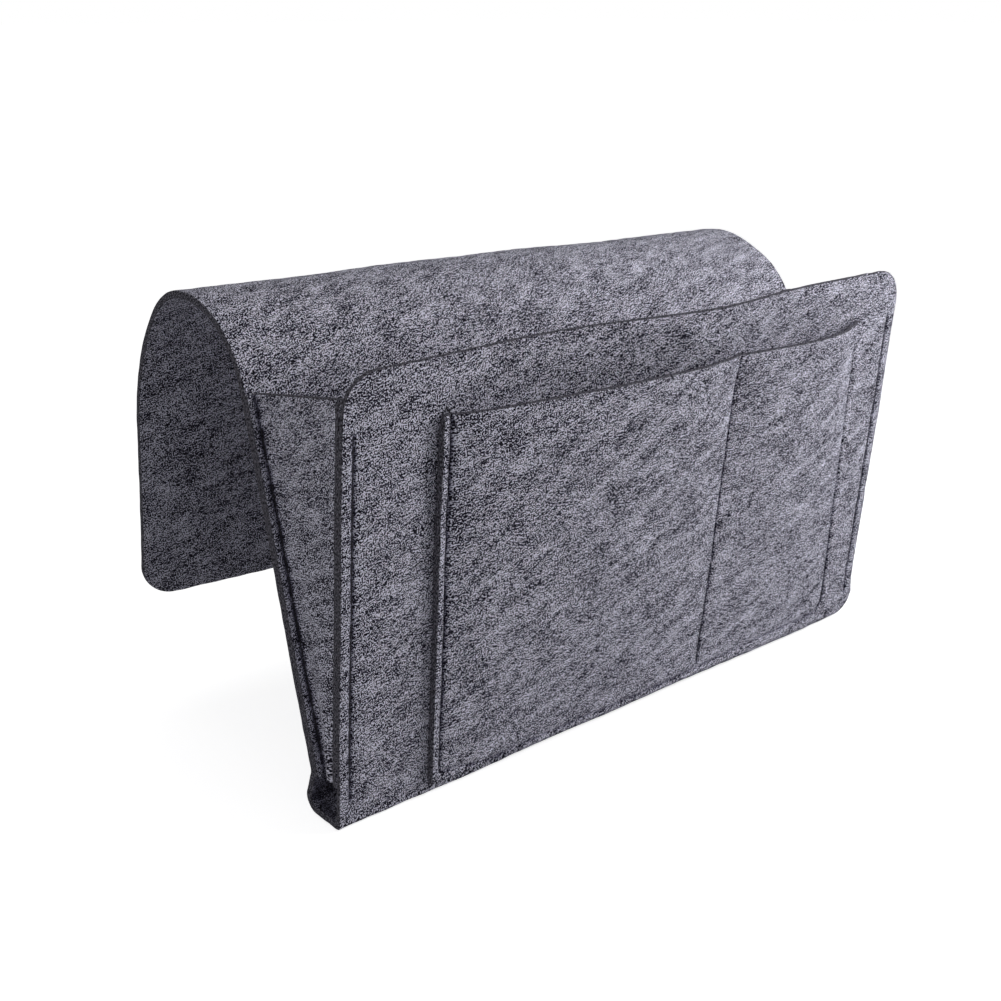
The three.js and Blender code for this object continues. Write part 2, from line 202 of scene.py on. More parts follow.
@dataclass(frozen=True)
class HeatherFelt:
    """Needle-punched polyester felt in heather grey.

    Barbed needles tangle dark, grey and pale fibres into a flat mat. The eye gets short curly strands of all
    shades, most of them lying along the cut, faint wisps and clouds, no gloss and a weak pale fuzz at grazing
    angles. Along seams the colour is darkened, partly for the tight fibres and partly as painted shade of the
    grooves; inside the base fold it is painted shade of the tunnel. Real fibres are 0.03 mm wide, too fine to
    show, so each strand stands for a bundle of them.
    """

    name: str = "needle_punched_heather_felt"
    deep: str = "#13111a"
    dark: str = "#2f2d3b"
    middle: str = "#585666"
    pale: str = "#9392a6"
    bright: str = "#e3e2f1"
    fuzz: str = "#c9c8d6"
    layers: tuple[FibreLayer, ...] = (STRANDS, CROSSING_STRANDS, FLECKS, WISPS, CLOUD)
    curl_mm: float = 2.6
    curl_reach_mm: float = 0.4
    spread: float = 0.23
    # Darkening by the pinch attribute, least and most, and the noise that varies it: painted shade, partly
    # tight fibres.
    packed_and_shaded: tuple[float, float] = (0.32, 0.8)
    shade_patch_mm: float = 5.0
    shade_patch_band: tuple[float, float] = (0.35, 0.65)
    relief: tuple[float, float] = (0.7, 0.1)
    roughness: tuple[float, float] = (0.98, 0.88)
    specular: float = 0.12
    sheen: tuple[float, float] = (0.08, 0.5)

    def material(self) -> Material:
        """Build the shader: the layers, on straight or curled places, added up and spread over the colours.

        Returns:
            The felt material, which reads the flat lay of the cut from the FeltLay map, and from a vertex
            attribute how far to darken: tight fibres at seams, painted shade in grooves and in the fold's
                tunnel.
        """
        material, tree = new_material(self.name)
        lay = add_node(tree, "UVMap", uv_map="FeltLay").outputs["UV"]
        curl = add_node(tree, "TexNoise", {"Vector": lay, "Scale": 1 / (self.curl_mm * MM), "Detail": 1.0},
                        noise_dimensions="2D").outputs["Color"]
        centred = add_node(tree, "VectorMath", {0: curl, 1: (0.5, 0.5, 0.5)}, operation="SUBTRACT").outputs[0]
        curled = add_node(tree, "VectorMath", {
            0: centred, 1: (2 * self.curl_reach_mm * MM,) * 3, 2: lay}, operation="MULTIPLY_ADD").outputs[0]
        total = 0.0
        for layer in self.layers:
            turned = add_node(tree, "Mapping", {
                "Vector": curled if layer.curled else lay, "Location": layer.shift,
                "Rotation": (0.0, 0.0, math.radians(-layer.turn_deg))}).outputs["Vector"]
            noise = felt_noise(tree, turned, layer.size_mm, layer.detail)
            total = add_node(tree, "Math", {0: noise, 1: layer.weight, 2: total},
                             operation="MULTIPLY_ADD").outputs[0]
        middle = 0.5 * sum(layer.weight for layer in self.layers)
        shade = add_node(tree, "MapRange", {
            "Value": total, "From Min": middle - self.spread,
            "From Max": middle + self.spread}).outputs["Result"]
        # The pinch attribute darkens the colour: tight fibres at seams, and painted shade of grooves and the
        # fold's tunnel.
        pinch = add_node(tree, "Attribute", attribute_name="pinch_and_painted_shade").outputs["Fac"]
        pull = add_node(tree, "MapRange", {
            "Value": felt_noise(tree, lay, (self.shade_patch_mm, self.shade_patch_mm), 0.0),
            "From Min": self.shade_patch_band[0], "From Max": self.shade_patch_band[1],
            "To Min": -self.packed_and_shaded[0], "To Max": -self.packed_and_shaded[1]}).outputs["Result"]
        unshaded = add_node(tree, "Math", {0: pinch, 1: pull, 2: 1.0}, operation="MULTIPLY_ADD").outputs[0]
        seen = add_node(tree, "Math", {0: shade, 1: unshaded}, operation="MULTIPLY").outputs[0]
        rough = add_node(tree, "MapRange", {
            "Value": shade, "To Min": self.roughness[0], "To Max": self.roughness[1]}).outputs["Result"]
        shades = (self.deep, self.dark, self.middle, self.pale, self.bright)
        close_surface(tree, seen, tuple(zip((0.0, 0.25, 0.5, 0.75, 1.0), shades)), shade, self.relief, {
            "Roughness": rough, "Specular IOR Level": self.specular, "Sheen Weight": self.sheen[0],
            "Sheen Roughness": self.sheen[1], "Sheen Tint": linear(self.fuzz)})
        return material


@dataclass(frozen=True)
class CutFeltEdge:
    """The knife-cut edge of the felt.

    A blade shears the fibres square, so the edge shows their ends in thin layers, with short pale dashes
    along the sheet and no sheen. It is darker than the faces, partly for the fibre ends and partly as painted
    shade of the gaps between stacked layers and at the pocket's mouth.
    """

    name: str = "knife_cut_felt_edge"
    stops: Stops = ((0.36, "#1b1a1f"), (0.5, "#45444b"), (0.66, "#83818c"))
    dash_mm: tuple[float, float] = (1.0, 0.5)
    dash_detail: float = 2.0
    relief: tuple[float, float] = (0.7, 0.12)
    roughness: float = 0.95
    specular: float = 0.1

    def material(self) -> Material:
        """Build the shader: noise stretched along the edge, dark on the whole.

        Returns:
            The edge material, which reads length and depth of the edge from the FeltLay map.
        """
        material, tree = new_material(self.name)
        lay = add_node(tree, "UVMap", uv_map="FeltLay").outputs["UV"]
        dash = felt_noise(tree, lay, self.dash_mm, self.dash_detail)
        close_surface(tree, dash, self.stops, dash, self.relief, {
            "Roughness": self.roughness, "Specular IOR Level": self.specular})
        return material


@dataclass(frozen=True)
class SpunThread:
    """Spun polyester sewing thread, near black.

    Two plies are twisted together, so the eye gets a fine diagonal ribbing with a low dull gloss. The real
    twist is about 0.3 mm long, too fine to show, so it is drawn twice as coarse.
    """

    name: str = "spun_polyester_thread"
    stops: Stops = ((0.1, "#121115"), (0.9, "#2f2d36"))
    twist_mm: float = 0.6
    twist_deg: float = 32.0
    bands: float = 0.314
    wobble: float = 1.0
    relief: tuple[float, float] = (0.5, 0.1)
    roughness: float = 0.7
    specular: float = 0.3

    def material(self) -> Material:
        """Build the shader: bands across the FeltLay map, whose first axis runs along the thread.

        Returns:
            The thread material.
        """
        material, tree = new_material(self.name)
        lay = add_node(tree, "UVMap", uv_map="FeltLay").outputs["UV"]
        fine = 1 / (self.twist_mm * MM)
        slanted = add_node(tree, "Mapping", {
            "Vector": lay, "Rotation": (0.0, 0.0, math.radians(self.twist_deg)),
            "Scale": (fine, fine, 1.0)}).outputs["Vector"]
        twist = add_node(tree, "TexWave", {
            "Vector": slanted, "Scale": self.bands, "Distortion": self.wobble},
            bands_direction="X").outputs["Fac"]
        close_surface(tree, twist, self.stops, twist, self.relief, {
            "Roughness": self.roughness, "Specular IOR Level": self.specular})
        return material


@dataclass(frozen=True)
class Finishes:
    """The materials of the organizer, made once and shared by its pieces."""

    felt: Material
    edge: Material
    thread: Material


@dataclass(frozen=True)
class Stretch:
    """One stretch of a bend path: its length in mm and how far it turns to the left, in degrees."""

    length: float
    turn: float = 0.0


def bend(radius: float, turn: float) -> Stretch:
    """Return the arc of a radius in mm that turns by some degrees, left being positive."""
    return Stretch(radius * math.radians(abs(turn)), turn)


@dataclass(frozen=True)
class BendPath:
    """The middle line of a bent strip in the YZ plane, as runs and arcs that follow on smoothly."""

    start: tuple[float, float]
    heading: float
    stretches: tuple[Stretch, ...]

    @property
    def length(self) -> float:
        """Return the whole length in mm."""
        return sum(stretch.length for stretch in self.stretches)

    def knots(self) -> Array:
        """Return the distance along the path at which each stretch starts, and its end."""
        return np.concatenate(([0.0], np.cumsum([stretch.length for stretch in self.stretches])))

    def at(self, distance: Array) -> tuple[Array, Array, Array]:
        """Find the places at some distances along the path.

        On an arc of curvature k the heading grows as k times the distance, and the place is the integral of
        its cosine and sine.

        Args:
            distance: distances from the start, in mm.

        Returns:
            Y, Z and heading in radians, each in the shape of distance.
        """
        starts = self.knots()
        turns = np.radians([stretch.turn for stretch in self.stretches])
        curves = turns / np.array([stretch.length for stretch in self.stretches])
        headings = math.radians(self.heading) + np.concatenate(([0.0], np.cumsum(turns)))
        corners = [np.array(self.start)]
        for stretch, curve, heading in zip(self.stretches, curves, headings):
            corners.append(corners[-1] + self.reach(stretch.length, curve, heading))
        index = np.clip(np.searchsorted(starts, distance, side="right") - 1, 0, len(self.stretches) - 1)
        along = distance - starts[index]
        place = np.array(corners)[index] + self.reach(along, curves[index], headings[index])
        return place[..., 0], place[..., 1], headings[index] + curves[index] * along

    @staticmethod
    def reach(along: Array, curve: Array, heading: Array) -> Array:
        """Return the step in Y and Z after a distance along a stretch of one curvature."""
        chord = along * np.sinc(curve * along / (2 * math.pi))
        middle = heading + curve * along / 2
        return np.stack((chord * np.cos(middle), chord * np.sin(middle)), axis=-1)

    def rows(self, run_step: float, turn_step: float) -> Array:
        """Divide the path into rows.

        Args:
            run_step: the longest step in mm.
            turn_step: the widest step in degrees on an arc.

        Returns:
            Distances from the start to the end, with a row at every change of stretch.
        """
        starts = self.knots()
        pieces = [np.array([0.0])]
        for stretch, begin, end in zip(self.stretches, starts[:-1], starts[1:]):
            count = max(1, math.ceil(stretch.length / run_step), math.ceil(abs(stretch.turn) / turn_step))
            pieces.append(np.linspace(begin, end, count + 1)[1:])
        return np.concatenate(pieces)


def smooth_step(value: Array, low: float, high: float) -> Array:
    """Rise smoothly from 0 at low to 1 at high, with no slope at either."""
    share = np.clip((value - low) / (high - low), 0.0, 1.0)
    return share * share * (3 - 2 * share)


def bell(value: Array, middle: float, width: float) -> Array:
    """Fall from 1 at the middle as the exponential of minus the square of the distance over the width."""
    return np.exp(-((value - middle) / width) ** 2)


def unit(vectors: Array) -> Array:
    """Scale vectors in the last axis to length 1."""
    return vectors / np.maximum(np.linalg.norm(vectors, axis=-1, keepdims=True), 1e-12)


def yz_way(degrees: float) -> Array:
    """Return the unit vector in Y and Z at an angle from +Y towards +Z."""
    return np.array((math.cos(math.radians(degrees)), math.sin(math.radians(degrees))))


def reach_along(points: Array) -> Array:
    """Return how far each point of a line is from its start, along the line."""
    return np.concatenate(([0.0], np.cumsum(np.linalg.norm(np.diff(points, axis=0), axis=1))))


@dataclass(frozen=True)
class Loft:
    """The uneven loft of felt: a sum of plane waves in space, each with its own way, length and phase."""

    amplitude: float
    wavelength: float
    seed: int
    waves: int = 14
    lengths: tuple[float, float] = (0.6, 1.6)

    def at(self, points: Array) -> Array:
        """Return the swell in mm at points in mm, about zero on the whole.

        Args:
            points: places in space, in the last axis.

        Returns:
            The mean of the waves times the amplitude, scaled so that the usual swell is the amplitude.
        """
        draw = np.random.default_rng(self.seed)
        ways = unit(draw.normal(size=(self.waves, 3)))
        rates = 2 * math.pi / (self.wavelength * draw.uniform(*self.lengths, self.waves))
        phases = draw.uniform(0, 2 * math.pi, self.waves)
        total = np.sin(points @ (ways * rates[:, None]).T + phases).sum(axis=-1)
        return self.amplitude * total * math.sqrt(2 / self.waves)


BROAD_LOFT = Loft(amplitude=0.22, wavelength=85.0, seed=11)
FINE_LOFT = Loft(amplitude=0.07, wavelength=9.0, seed=12)
RAGGED_EDGE = Loft(amplitude=0.035, wavelength=6.0, seed=13)


def loft(points: Array) -> Array:
    """Return the whole uneven swell of the felt at points in mm."""
    return BROAD_LOFT.at(points) + FINE_LOFT.at(points)


@dataclass(frozen=True)
class PanelFrame:
    """A leaning panel: a line along X at y and z, and the lean of its top towards -Y in degrees."""

    y: float
    z: float
    lean: float

    def place(self, x: Array, depth: Array, height: Array) -> Array:
        """Find places on or near the panel.

        Args:
            x: place along the arm.
            depth: distance from the middle of the felt, towards +Y.
            height: distance up the panel.

        Returns:
            Points in mm in the last axis.
        """
        cos, sin = yz_way(self.lean)
        y = self.y + depth * cos - height * sin
        z = self.z + depth * sin + height * cos
        return np.stack(np.broadcast_arrays(np.asarray(x, float), y, z), axis=-1)


@dataclass(frozen=True)
class SeamLine:
    """A line of stitches as points in a panel's x and height."""

    points: tuple[tuple[float, float], ...]

    def distance(self, x: Array, height: Array) -> Array:
        """Return how far each place is from the line, as the least distance to any of its straight bits."""
        corners = np.array(self.points)
        least = np.full(np.broadcast(x, height).shape, np.inf)
        for (x0, h0), (x1, h1) in zip(corners[:-1], corners[1:]):
            dx, dh = x1 - x0, h1 - h0
            share = np.clip(((x - x0) * dx + (height - h0) * dh) / (dx * dx + dh * dh), 0.0, 1.0)
            least = np.minimum(least, np.hypot(x - x0 - share * dx, height - h0 - share * dh))
        return least

    def along(self, step: float) -> Array:
        """Return points about a step apart along the line, its ends included."""
        corners = np.array(self.points)
        reach = reach_along(corners)
        at = np.linspace(0.0, reach[-1], math.ceil(reach[-1] / step) + 1)
        return np.stack((np.interp(at, reach, corners[:, 0]), np.interp(at, reach, corners[:, 1])), axis=-1)


@dataclass(frozen=True)
class SeamPress:
    """How a row of lock stitches presses the felt: a groove under the thread and a soft swell beside it."""

    depth: float = 0.75
    width: float = 0.85
    swell: float = 0.12
    swell_at: float = 2.7
    swell_width: float = 1.5
    pinch_shade_width: float = 0.7

    def at(self, distance: Array) -> Array:
        """Return how far the face sinks beside the seam: a bell, less a smaller bell a little way off."""
        groove = self.depth * bell(distance, 0.0, self.width)
        return groove - self.swell * bell(distance, self.swell_at, self.swell_width)

    def pinch(self, distance: Array) -> Array:
        """Return from 0 to 1 how tightly a seam squeezes the fibres at a distance from it, as a bell.

        The felt's colour darkens by it, partly for the tight fibres and partly as painted shade of the
        groove.
        """
        return bell(distance, 0.0, self.pinch_shade_width)


@dataclass
class SheetGrid:
    """A felt sheet as a grid: rows along the cut and columns across it.

    Attributes:
        mid: middle of the felt, rows by columns by 3.
        lay: flat place of each point on the cut, rows by columns by 2.
        over: distance from the middle to the face on the side of columns cross rows.
        under: distance from the middle to the other face.
        butt_first: whether the first row meets the next length of the same cut.
        butt_last: whether the last row does.
        pinch_shade_over: how far seams darken the colour of the first face, for tight fibres and as painted
            shade of grooves and the fold's tunnel, or None for not at all.
        pinch_shade_under: the same for the other face.
    """

    mid: Array
    lay: Array
    over: Array
    under: Array
    butt_first: bool = False
    butt_last: bool = False
    pinch_shade_over: Optional[Array] = None
    pinch_shade_under: Optional[Array] = None


@dataclass(frozen=True)
class FaceBlock:
    """Faces of one finish: vertex numbers, the flat lay of their corners in mm, and the finish number."""

    corners: Array
    lay: Array
    finish: int = 0


RIM_SHARES = np.array((0.0, 0.08, 0.25, 0.5, 0.75, 0.92, 1.0))
RIM_BULGE = 0.35

# Each cut lies at its own place on the roll of felt, and its far face at yet another, so no pattern repeats.
BACK_LAY = 300.0
GUSSET_LAY = 400.0
FLAP_LAY = 600.0
POCKET_LAY = 900.0
FAR_LAY = (700.0, 350.0)


def grid_normals(points: Array) -> Array:
    """Return the unit normals of a grid: its slope along the columns crossed with that along the rows."""
    return unit(np.cross(np.gradient(points, axis=1), np.gradient(points, axis=0)))


def border_walk(rows: int, columns: int) -> tuple[Array, Array]:
    """Walk once round the border of a grid, along the first row first.

    Args:
        rows: number of rows.
        columns: number of columns.

    Returns:
        Row and column of each border point, with the face side of the grid on the left.
    """
    last_row, last_column = rows - 1, columns - 1
    row = np.concatenate((np.zeros(last_column, int), np.arange(last_row), np.full(last_column, last_row),
                          np.arange(last_row, 0, -1)))
    column = np.concatenate((np.arange(last_column), np.full(last_row, last_column),
                             np.arange(last_column, 0, -1), np.zeros(last_row, int)))
    return row, column


def cells(grid: Array, axis: int) -> Array:
    """Return the four corners of each cell of a grid, turning from its columns to its rows."""
    return np.stack((grid[:-1, :-1], grid[:-1, 1:], grid[1:, 1:], grid[1:, :-1]), axis=axis)


def write_mesh(name: str, points: Array, blocks: Sequence[FaceBlock], materials: Sequence[Material],
               sharp: Optional[Array] = None, pinch: Optional[Array] = None) -> Piece:
    """Put arrays into a new smooth-shaded mesh object at the origin.

    Args:
        name: name of the piece.
        points: vertices in mm.
        blocks: the faces.
        materials: the materials in order.
        sharp: for each vertex, whether edges between two such vertices are sharp.
        pinch: for each vertex, how far its colour darkens, for tight fibres and as painted shade.

    Returns:
        The new object, linked to the scene.
    """
    mesh = bpy.data.meshes.new(name)
    corners = np.concatenate([block.corners.ravel() for block in blocks]).astype(np.int32)
    sizes = np.concatenate([np.full(len(block.corners), block.corners.shape[1]) for block in blocks])
    finish = np.concatenate([np.full(len(block.corners), block.finish) for block in blocks])
    flat = np.concatenate([block.lay.reshape(-1, 2) for block in blocks]) * MM
    mesh.vertices.add(len(points))
    mesh.vertices.foreach_set("co", (points * MM).astype(np.float32).ravel())
    mesh.loops.add(len(corners))
    mesh.loops.foreach_set("vertex_index", corners)
    mesh.polygons.add(len(sizes))
    mesh.polygons.foreach_set("loop_start", np.concatenate(([0], np.cumsum(sizes)[:-1])).astype(np.int32))
    mesh.polygons.foreach_set("material_index", finish.astype(np.int32))
    mesh.update(calc_edges=True)
    mesh.uv_layers.new(name="FeltLay").data.foreach_set("uv", flat.astype(np.float32).ravel())
    mesh.polygons.foreach_set("use_smooth", np.ones(len(sizes), bool))
    if sharp is not None:
        ends = np.empty(2 * len(mesh.edges), np.int32)
        mesh.edges.foreach_get("vertices", ends)
        mesh.edges.foreach_set("use_edge_sharp", sharp[ends.reshape(-1, 2)].all(axis=1))
    if pinch is not None:
        packed_and_shaded = mesh.attributes.new("pinch_and_painted_shade", "FLOAT", "POINT")
        packed_and_shaded.data.foreach_set("value", pinch.astype(np.float32))
    for material in materials:
        mesh.materials.append(material)
    mesh.validate()
    piece = bpy.data.objects.new(name, mesh)
    bpy.context.scene.collection.objects.link(piece)
    return piece


def felt_sheet(name: str, grid: SheetGrid, finishes: Finishes) -> Piece:
    """Make a closed felt sheet from a grid.

    The two faces lie along the normals at their distances from the middle. Round the border, rings go from
    one face to the other and bulge out like a knife-cut edge, a little raggedly; a butt end stays flat.

    Args:
        name: name of the piece.
        grid: the sheet's grid.
        finishes: the materials.

    Returns:
        The piece.
    """
    rows, columns = grid.mid.shape[:2]
    normals = grid_normals(grid.mid)
    over = grid.mid + normals * grid.over[..., None]
    under = grid.mid - normals * grid.under[..., None]
    row, column = border_walk(rows, columns)
    rim, rim_over, rim_under = grid.mid[row, column], over[row, column], under[row, column]
    walk = np.roll(rim, -1, axis=0) - np.roll(rim, 1, axis=0)
    outward = unit(np.cross(walk, normals[row, column]))
    butt = ((row == 0) & grid.butt_first) | ((row == rows - 1) & grid.butt_last)
    bulge = np.where(butt, 0.0, RIM_BULGE + RAGGED_EDGE.at(rim_over))
    share = RIM_SHARES[1:-1, None, None]
    round_off = np.sqrt(1 - (2 * share - 1) ** 4)
    rings = rim_over + (rim_under - rim_over) * share + outward * bulge[:, None] * round_off
    points = np.concatenate((over.reshape(-1, 3), under.reshape(-1, 3), rings.reshape(-1, 3)))
    face = rows * columns
    number = np.arange(face).reshape(rows, columns)
    quads = cells(number, -1).reshape(-1, 4)
    border = number[row, column]
    ring_number = 2 * face + np.arange(rings[..., 0].size).reshape(-1, len(border))
    ladder = np.concatenate((border[None], ring_number, border[None] + face))
    after = np.roll(ladder, -1, axis=1)
    rungs = np.stack((ladder[:-1], ladder[1:], after[1:], after[:-1]), axis=-1).reshape(-1, 4)
    lay = grid.lay.reshape(-1, 2)
    far_lay = lay * (-1, 1) + FAR_LAY
    reach = reach_along(np.concatenate((rim_over, rim_over[:1])))
    depth = RIM_SHARES * float(np.mean(grid.over + grid.under))
    chart = np.stack(np.meshgrid(reach, depth), axis=-1)
    rim_lay = np.stack((chart[:-1, :-1], chart[1:, :-1], chart[1:, 1:], chart[:-1, 1:]), axis=-2)
    sharp = np.zeros(len(points), bool)
    sharp[ladder[:, butt]] = True
    faces = (grid.pinch_shade_over, grid.pinch_shade_under)
    pinch = [np.zeros(face) if values is None else values.ravel() for values in faces]
    blocks = (FaceBlock(quads, lay[quads]), FaceBlock(quads[:, ::-1] + face, far_lay[quads[:, ::-1]]),
              FaceBlock(rungs, rim_lay.reshape(-1, 4, 2), finish=1))
    return write_mesh(name, points, blocks, (finishes.felt, finishes.edge), sharp,
                      np.concatenate((*pinch, np.zeros(rings[..., 0].size))))


def carry(piece: Piece, body: Body, other: Optional[Body] = None) -> None:
    """Let a body carry a piece, or where two would hold it, bake its place into the mesh instead; log it.

    Args:
        piece: the finished piece.
        body: what carries it, or its part before the bend.
        other: what would carry its part past the bend; it is only named in the log.
    """
    holder = body.value
    if other is None:
        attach(piece, body.value)
    else:
        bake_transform(piece)
        holder = f"{body.value} and {other.value}"
    LOG.info("%s: %d faces, on %s", piece.name, len(piece.data.polygons), holder)


def declare_sheet(nodes: Sequence[str], flat: tuple[float, float], held: Held) -> None:
    """Hide the solids that a felt sheet stands for.

    Args:
        nodes: the solids.
        flat: flat width and length in mm; not used.
        held: how it is held; not used.
    """
    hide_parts(*nodes)


@dataclass(frozen=True)
class ThreadRun:
    """A row of lock stitches seen from one face, as one unbroken thread.

    Between two needle holes the thread rises out of the felt and lies on it; at each hole it dives in.
    """

    radius: float = 0.33
    pitch: float = 3.6
    dive: float = 0.4
    rise: float = 0.03
    steps: int = 12
    sides: int = 8

    def build(self, name: str, seam: SeamLine, place: Callable[[Array, Array, Array], Array],
              finishes: Finishes) -> Piece:
        """Make the thread along a seam.

        With t from 0 to 1 between two holes, the thread's middle stands at the root of sin(pi t), from the
        dive below the face to the rise above it. A ring of points goes round it at every step.

        Args:
            name: name of the piece.
            seam: the line of stitches.
            place: function of x, height and rise that returns points in space.
            finishes: the materials.

        Returns:
            The piece.
        """
        flat = seam.along(self.pitch / self.steps)
        reach = reach_along(flat)
        stitches = max(1, round(reach[-1] / self.pitch))
        lift = np.sqrt(np.abs(np.sin(math.pi * (reach / reach[-1] * stitches))))
        height = self.rise * lift - self.dive * (1 - lift)
        middle = place(flat[:, 0], flat[:, 1], height)
        up = unit(place(flat[:, 0], flat[:, 1], height + 1.0) - middle)
        ahead = unit(np.gradient(middle, axis=0))
        across = unit(np.cross(ahead, up))
        up = np.cross(across, ahead)
        turn = np.linspace(0.0, 2 * math.pi, self.sides, endpoint=False)
        ring = across[:, None] * np.cos(turn)[:, None] + up[:, None] * np.sin(turn)[:, None]
        points = middle[:, None] + self.radius * ring
        number = np.arange(points.shape[0] * self.sides).reshape(-1, self.sides)
        beside = np.roll(number, -1, axis=1)
        quads = np.stack((number[:-1], beside[:-1], beside[1:], number[1:]), axis=-1).reshape(-1, 4)
        girth = np.arange(self.sides + 1) / self.sides * 2 * math.pi * self.radius
        chart = np.stack(np.meshgrid(reach, girth, indexing="ij"), axis=-1)
        caps = FaceBlock(np.stack((number[0, ::-1], number[-1])), np.zeros((2, self.sides, 2)))
        return write_mesh(name, points.reshape(-1, 3), (FaceBlock(quads, cells(chart, -2)), caps),
                          (finishes.thread,))


@dataclass
class LongCut:
    """The one long cut of felt: front panel, base fold, back panel, saddle and rear flap.

    It is made as three lengths that butt together, one for each joint that the felt bends across.
    """

    finishes: Finishes
    press: SeamPress = field(default_factory=SeamPress)
    length: float = 320.0
    felt: float = 3.0

    # The crown of the saddle, how it sinks, and where the rear length starts.
    crown_front_radius: float = 37.0
    crown_rear_radius: float = 40.0
    crown_rear_turn: float = 52.0
    crown_sink: float = 12.0
    sink_past: tuple[float, float] = (10.2, 10.3)
    front_sag: float = 2.5
    sag_ends_x: float = -70.0
    sag_reach: float = 1.35
    split_turn: float = 32.0

    # The rear flap.
    shoulder_radius: float = 101.0
    flap_lean: float = 7.0
    flap_run: float = 82.0
    flap_corner: float = 15.0
    flap_bow: float = 8.0
    flap_bend: float = 12.0

    # The back panel.
    back_height: float = 151.0
    back_lean: float = 14.0
    back_bend: float = 10.0

    # The base fold, and the painted shade on the inner faces of its tunnel.
    pinch_radius: float = 6.0
    pinch_run: float = 8.874
    base_radius: float = 5.0
    base_turn: float = 110.0
    base_run: float = 14.136
    base_split: float = 5.0
    fold_painted_shade: float = 0.5
    fold_fade: float = 12.0

    # The front panel, its billow, and how its free edges thin out.
    front_height: float = 181.5
    front_lean: float = 4.6
    front_corner: float = 15.0
    front_bulge: float = 5.7
    bulge_at: float = 27.0
    bulge_width: float = 38.0
    front_hollow: float = 4.0
    hollow_at: float = -75.0
    hollow_width: float = 45.0
    top_slack: float = 1.2
    slack_heights: tuple[float, float] = (150.0, 180.0)
    slack_way: tuple[float, float, float] = (1.0, 0.0, 0.5)
    edge_thin: float = 1.2
    thin_top: float = 5.0
    thin_end: float = 4.0
    thin_above: tuple[float, float] = (1.0, 7.0)

    # The crease under the front panel, the height above it where the painted shade of the fold's tunnel
    # starts to fade, and the eased corner at its right end.
    crease_radius: float = 1.8
    crease_sharp: float = 0.6
    crease_width: float = 0.9
    crease_bend: float = 2.5
    crease_shade_from: float = 6.0
    corner_lift: float = 5.5
    corner_reach: float = 11.0
    corner_fade: float = 13.0
    corner_flare: float = 2.2
    flare_at: float = 7.0
    flare_width: float = 8.0

    # The gusset seams: insets from the ends, lowest and highest stitch, and how they squeeze the felt.
    front_seam_inset: float = 5.3
    back_seam_inset: float = 3.9
    front_seam: tuple[float, float] = (11.0, 159.0)
    flange_seam: tuple[float, float] = (23.0, 159.0)
    back_seam: tuple[float, float] = (5.0, 134.0)
    seam_squeeze: float = 0.65
    face_squeeze: float = 0.2
    squeeze_reach: float = 12.0
    squeeze_clear: float = 0.5
    squeeze_start: tuple[float, float] = (6.0, 4.0)
    seam_fade: tuple[float, float] = (4.0, 6.0)
    flange_start: float = 12.0

    # Steps and counts of the grid.
    row_step: float = 2.0
    front_row_step: float = 1.8
    row_turn: float = 6.0
    crown_row_turn: float = 5.0
    corner_rows: int = 17
    butt_row: float = 0.5
    least_row: float = 0.3
    column_step: float = 2.2
    edge_column_step: float = 0.55
    edge_columns_to: float = 13.0

    def __post_init__(self) -> None:
        """Work out the paths and panel frames from the sizes and the frame's pivots."""
        crease = PIVOT_YZ["pouch_fold"]
        self.front_frame = PanelFrame(crease[0], crease[1], self.front_lean)
        steep = 90 - self.back_lean
        foot = PIVOT_YZ["pouch_swing"] - self.back_height * yz_way(steep)
        self.back_frame = PanelFrame(foot[0], foot[1], -self.back_lean)
        base = (crease[0] + self.base_split, crease[1])
        self.rising = BendPath(base, 0.0, (
            Stretch(self.base_run - self.base_split),
            bend(self.base_radius, self.base_turn),
            Stretch(self.pinch_run),
            bend(self.pinch_radius, steep - self.base_turn),
            Stretch(self.back_height),
            bend(self.crown_front_radius, -steep),
            bend(self.crown_rear_radius, -self.split_turn)))
        top_y, top_z, _ = self.rising.at(np.array(self.rising.length))
        self.falling = BendPath((float(top_y), float(top_z)), -self.split_turn, (
            bend(self.crown_rear_radius, self.split_turn - self.crown_rear_turn),
            bend(self.shoulder_radius, self.crown_rear_turn + self.flap_lean - 90),
            Stretch(self.flap_run)))
        turn = 90 - self.front_lean
        self.crease_tangent = self.crease_radius * math.tan(math.radians(turn / 2))
        self.fronting = BendPath(base, 180.0, (
            Stretch(self.base_split - self.crease_tangent),
            bend(self.crease_radius, -turn),
            Stretch(self.front_height - self.crease_tangent)))
        self.crown_front = self.crown_front_radius * math.radians(steep)

    def columns(self) -> Array:
        """Return places across the cut from -1 to 1, closer together near its two long edges."""
        half = self.length / 2 - RIM_BULGE
        margin = self.edge_columns_to
        edge = np.linspace(-half, margin - half, math.ceil(margin / self.edge_column_step) + 1)
        count = math.ceil(2 * (half - margin) / self.column_step) + 1
        inner = np.linspace(margin - half, half - margin, count)
        return np.concatenate((edge[:-1], inner, -edge[::-1][1:])) / half

    def rounded_rows(self, path: BendPath, corner: float, run_step: float) -> tuple[Array, Array]:
        """Lay rows along a path whose far end has rounded corners.

        Inside the last corner radius r, a row at r sin(a) past the start of the arc reaches r (1 - cos(a))
        less.

        Args:
            path: the middle line.
            corner: corner radius.
            run_step: longest step.

        Returns:
            Distance along the path and half width of each row.
        """
        straight = path.rows(run_step, self.row_turn)
        end = path.length - RIM_BULGE
        turn = np.linspace(0.0, math.pi / 2, self.corner_rows)
        body = straight[straight < end - corner - self.least_row]
        rows = np.concatenate((body, end - corner + corner * np.sin(turn)))
        half = self.length / 2 - RIM_BULGE
        width = np.concatenate((np.full(len(body), half), half - corner * (1 - np.cos(turn))))
        return rows, width

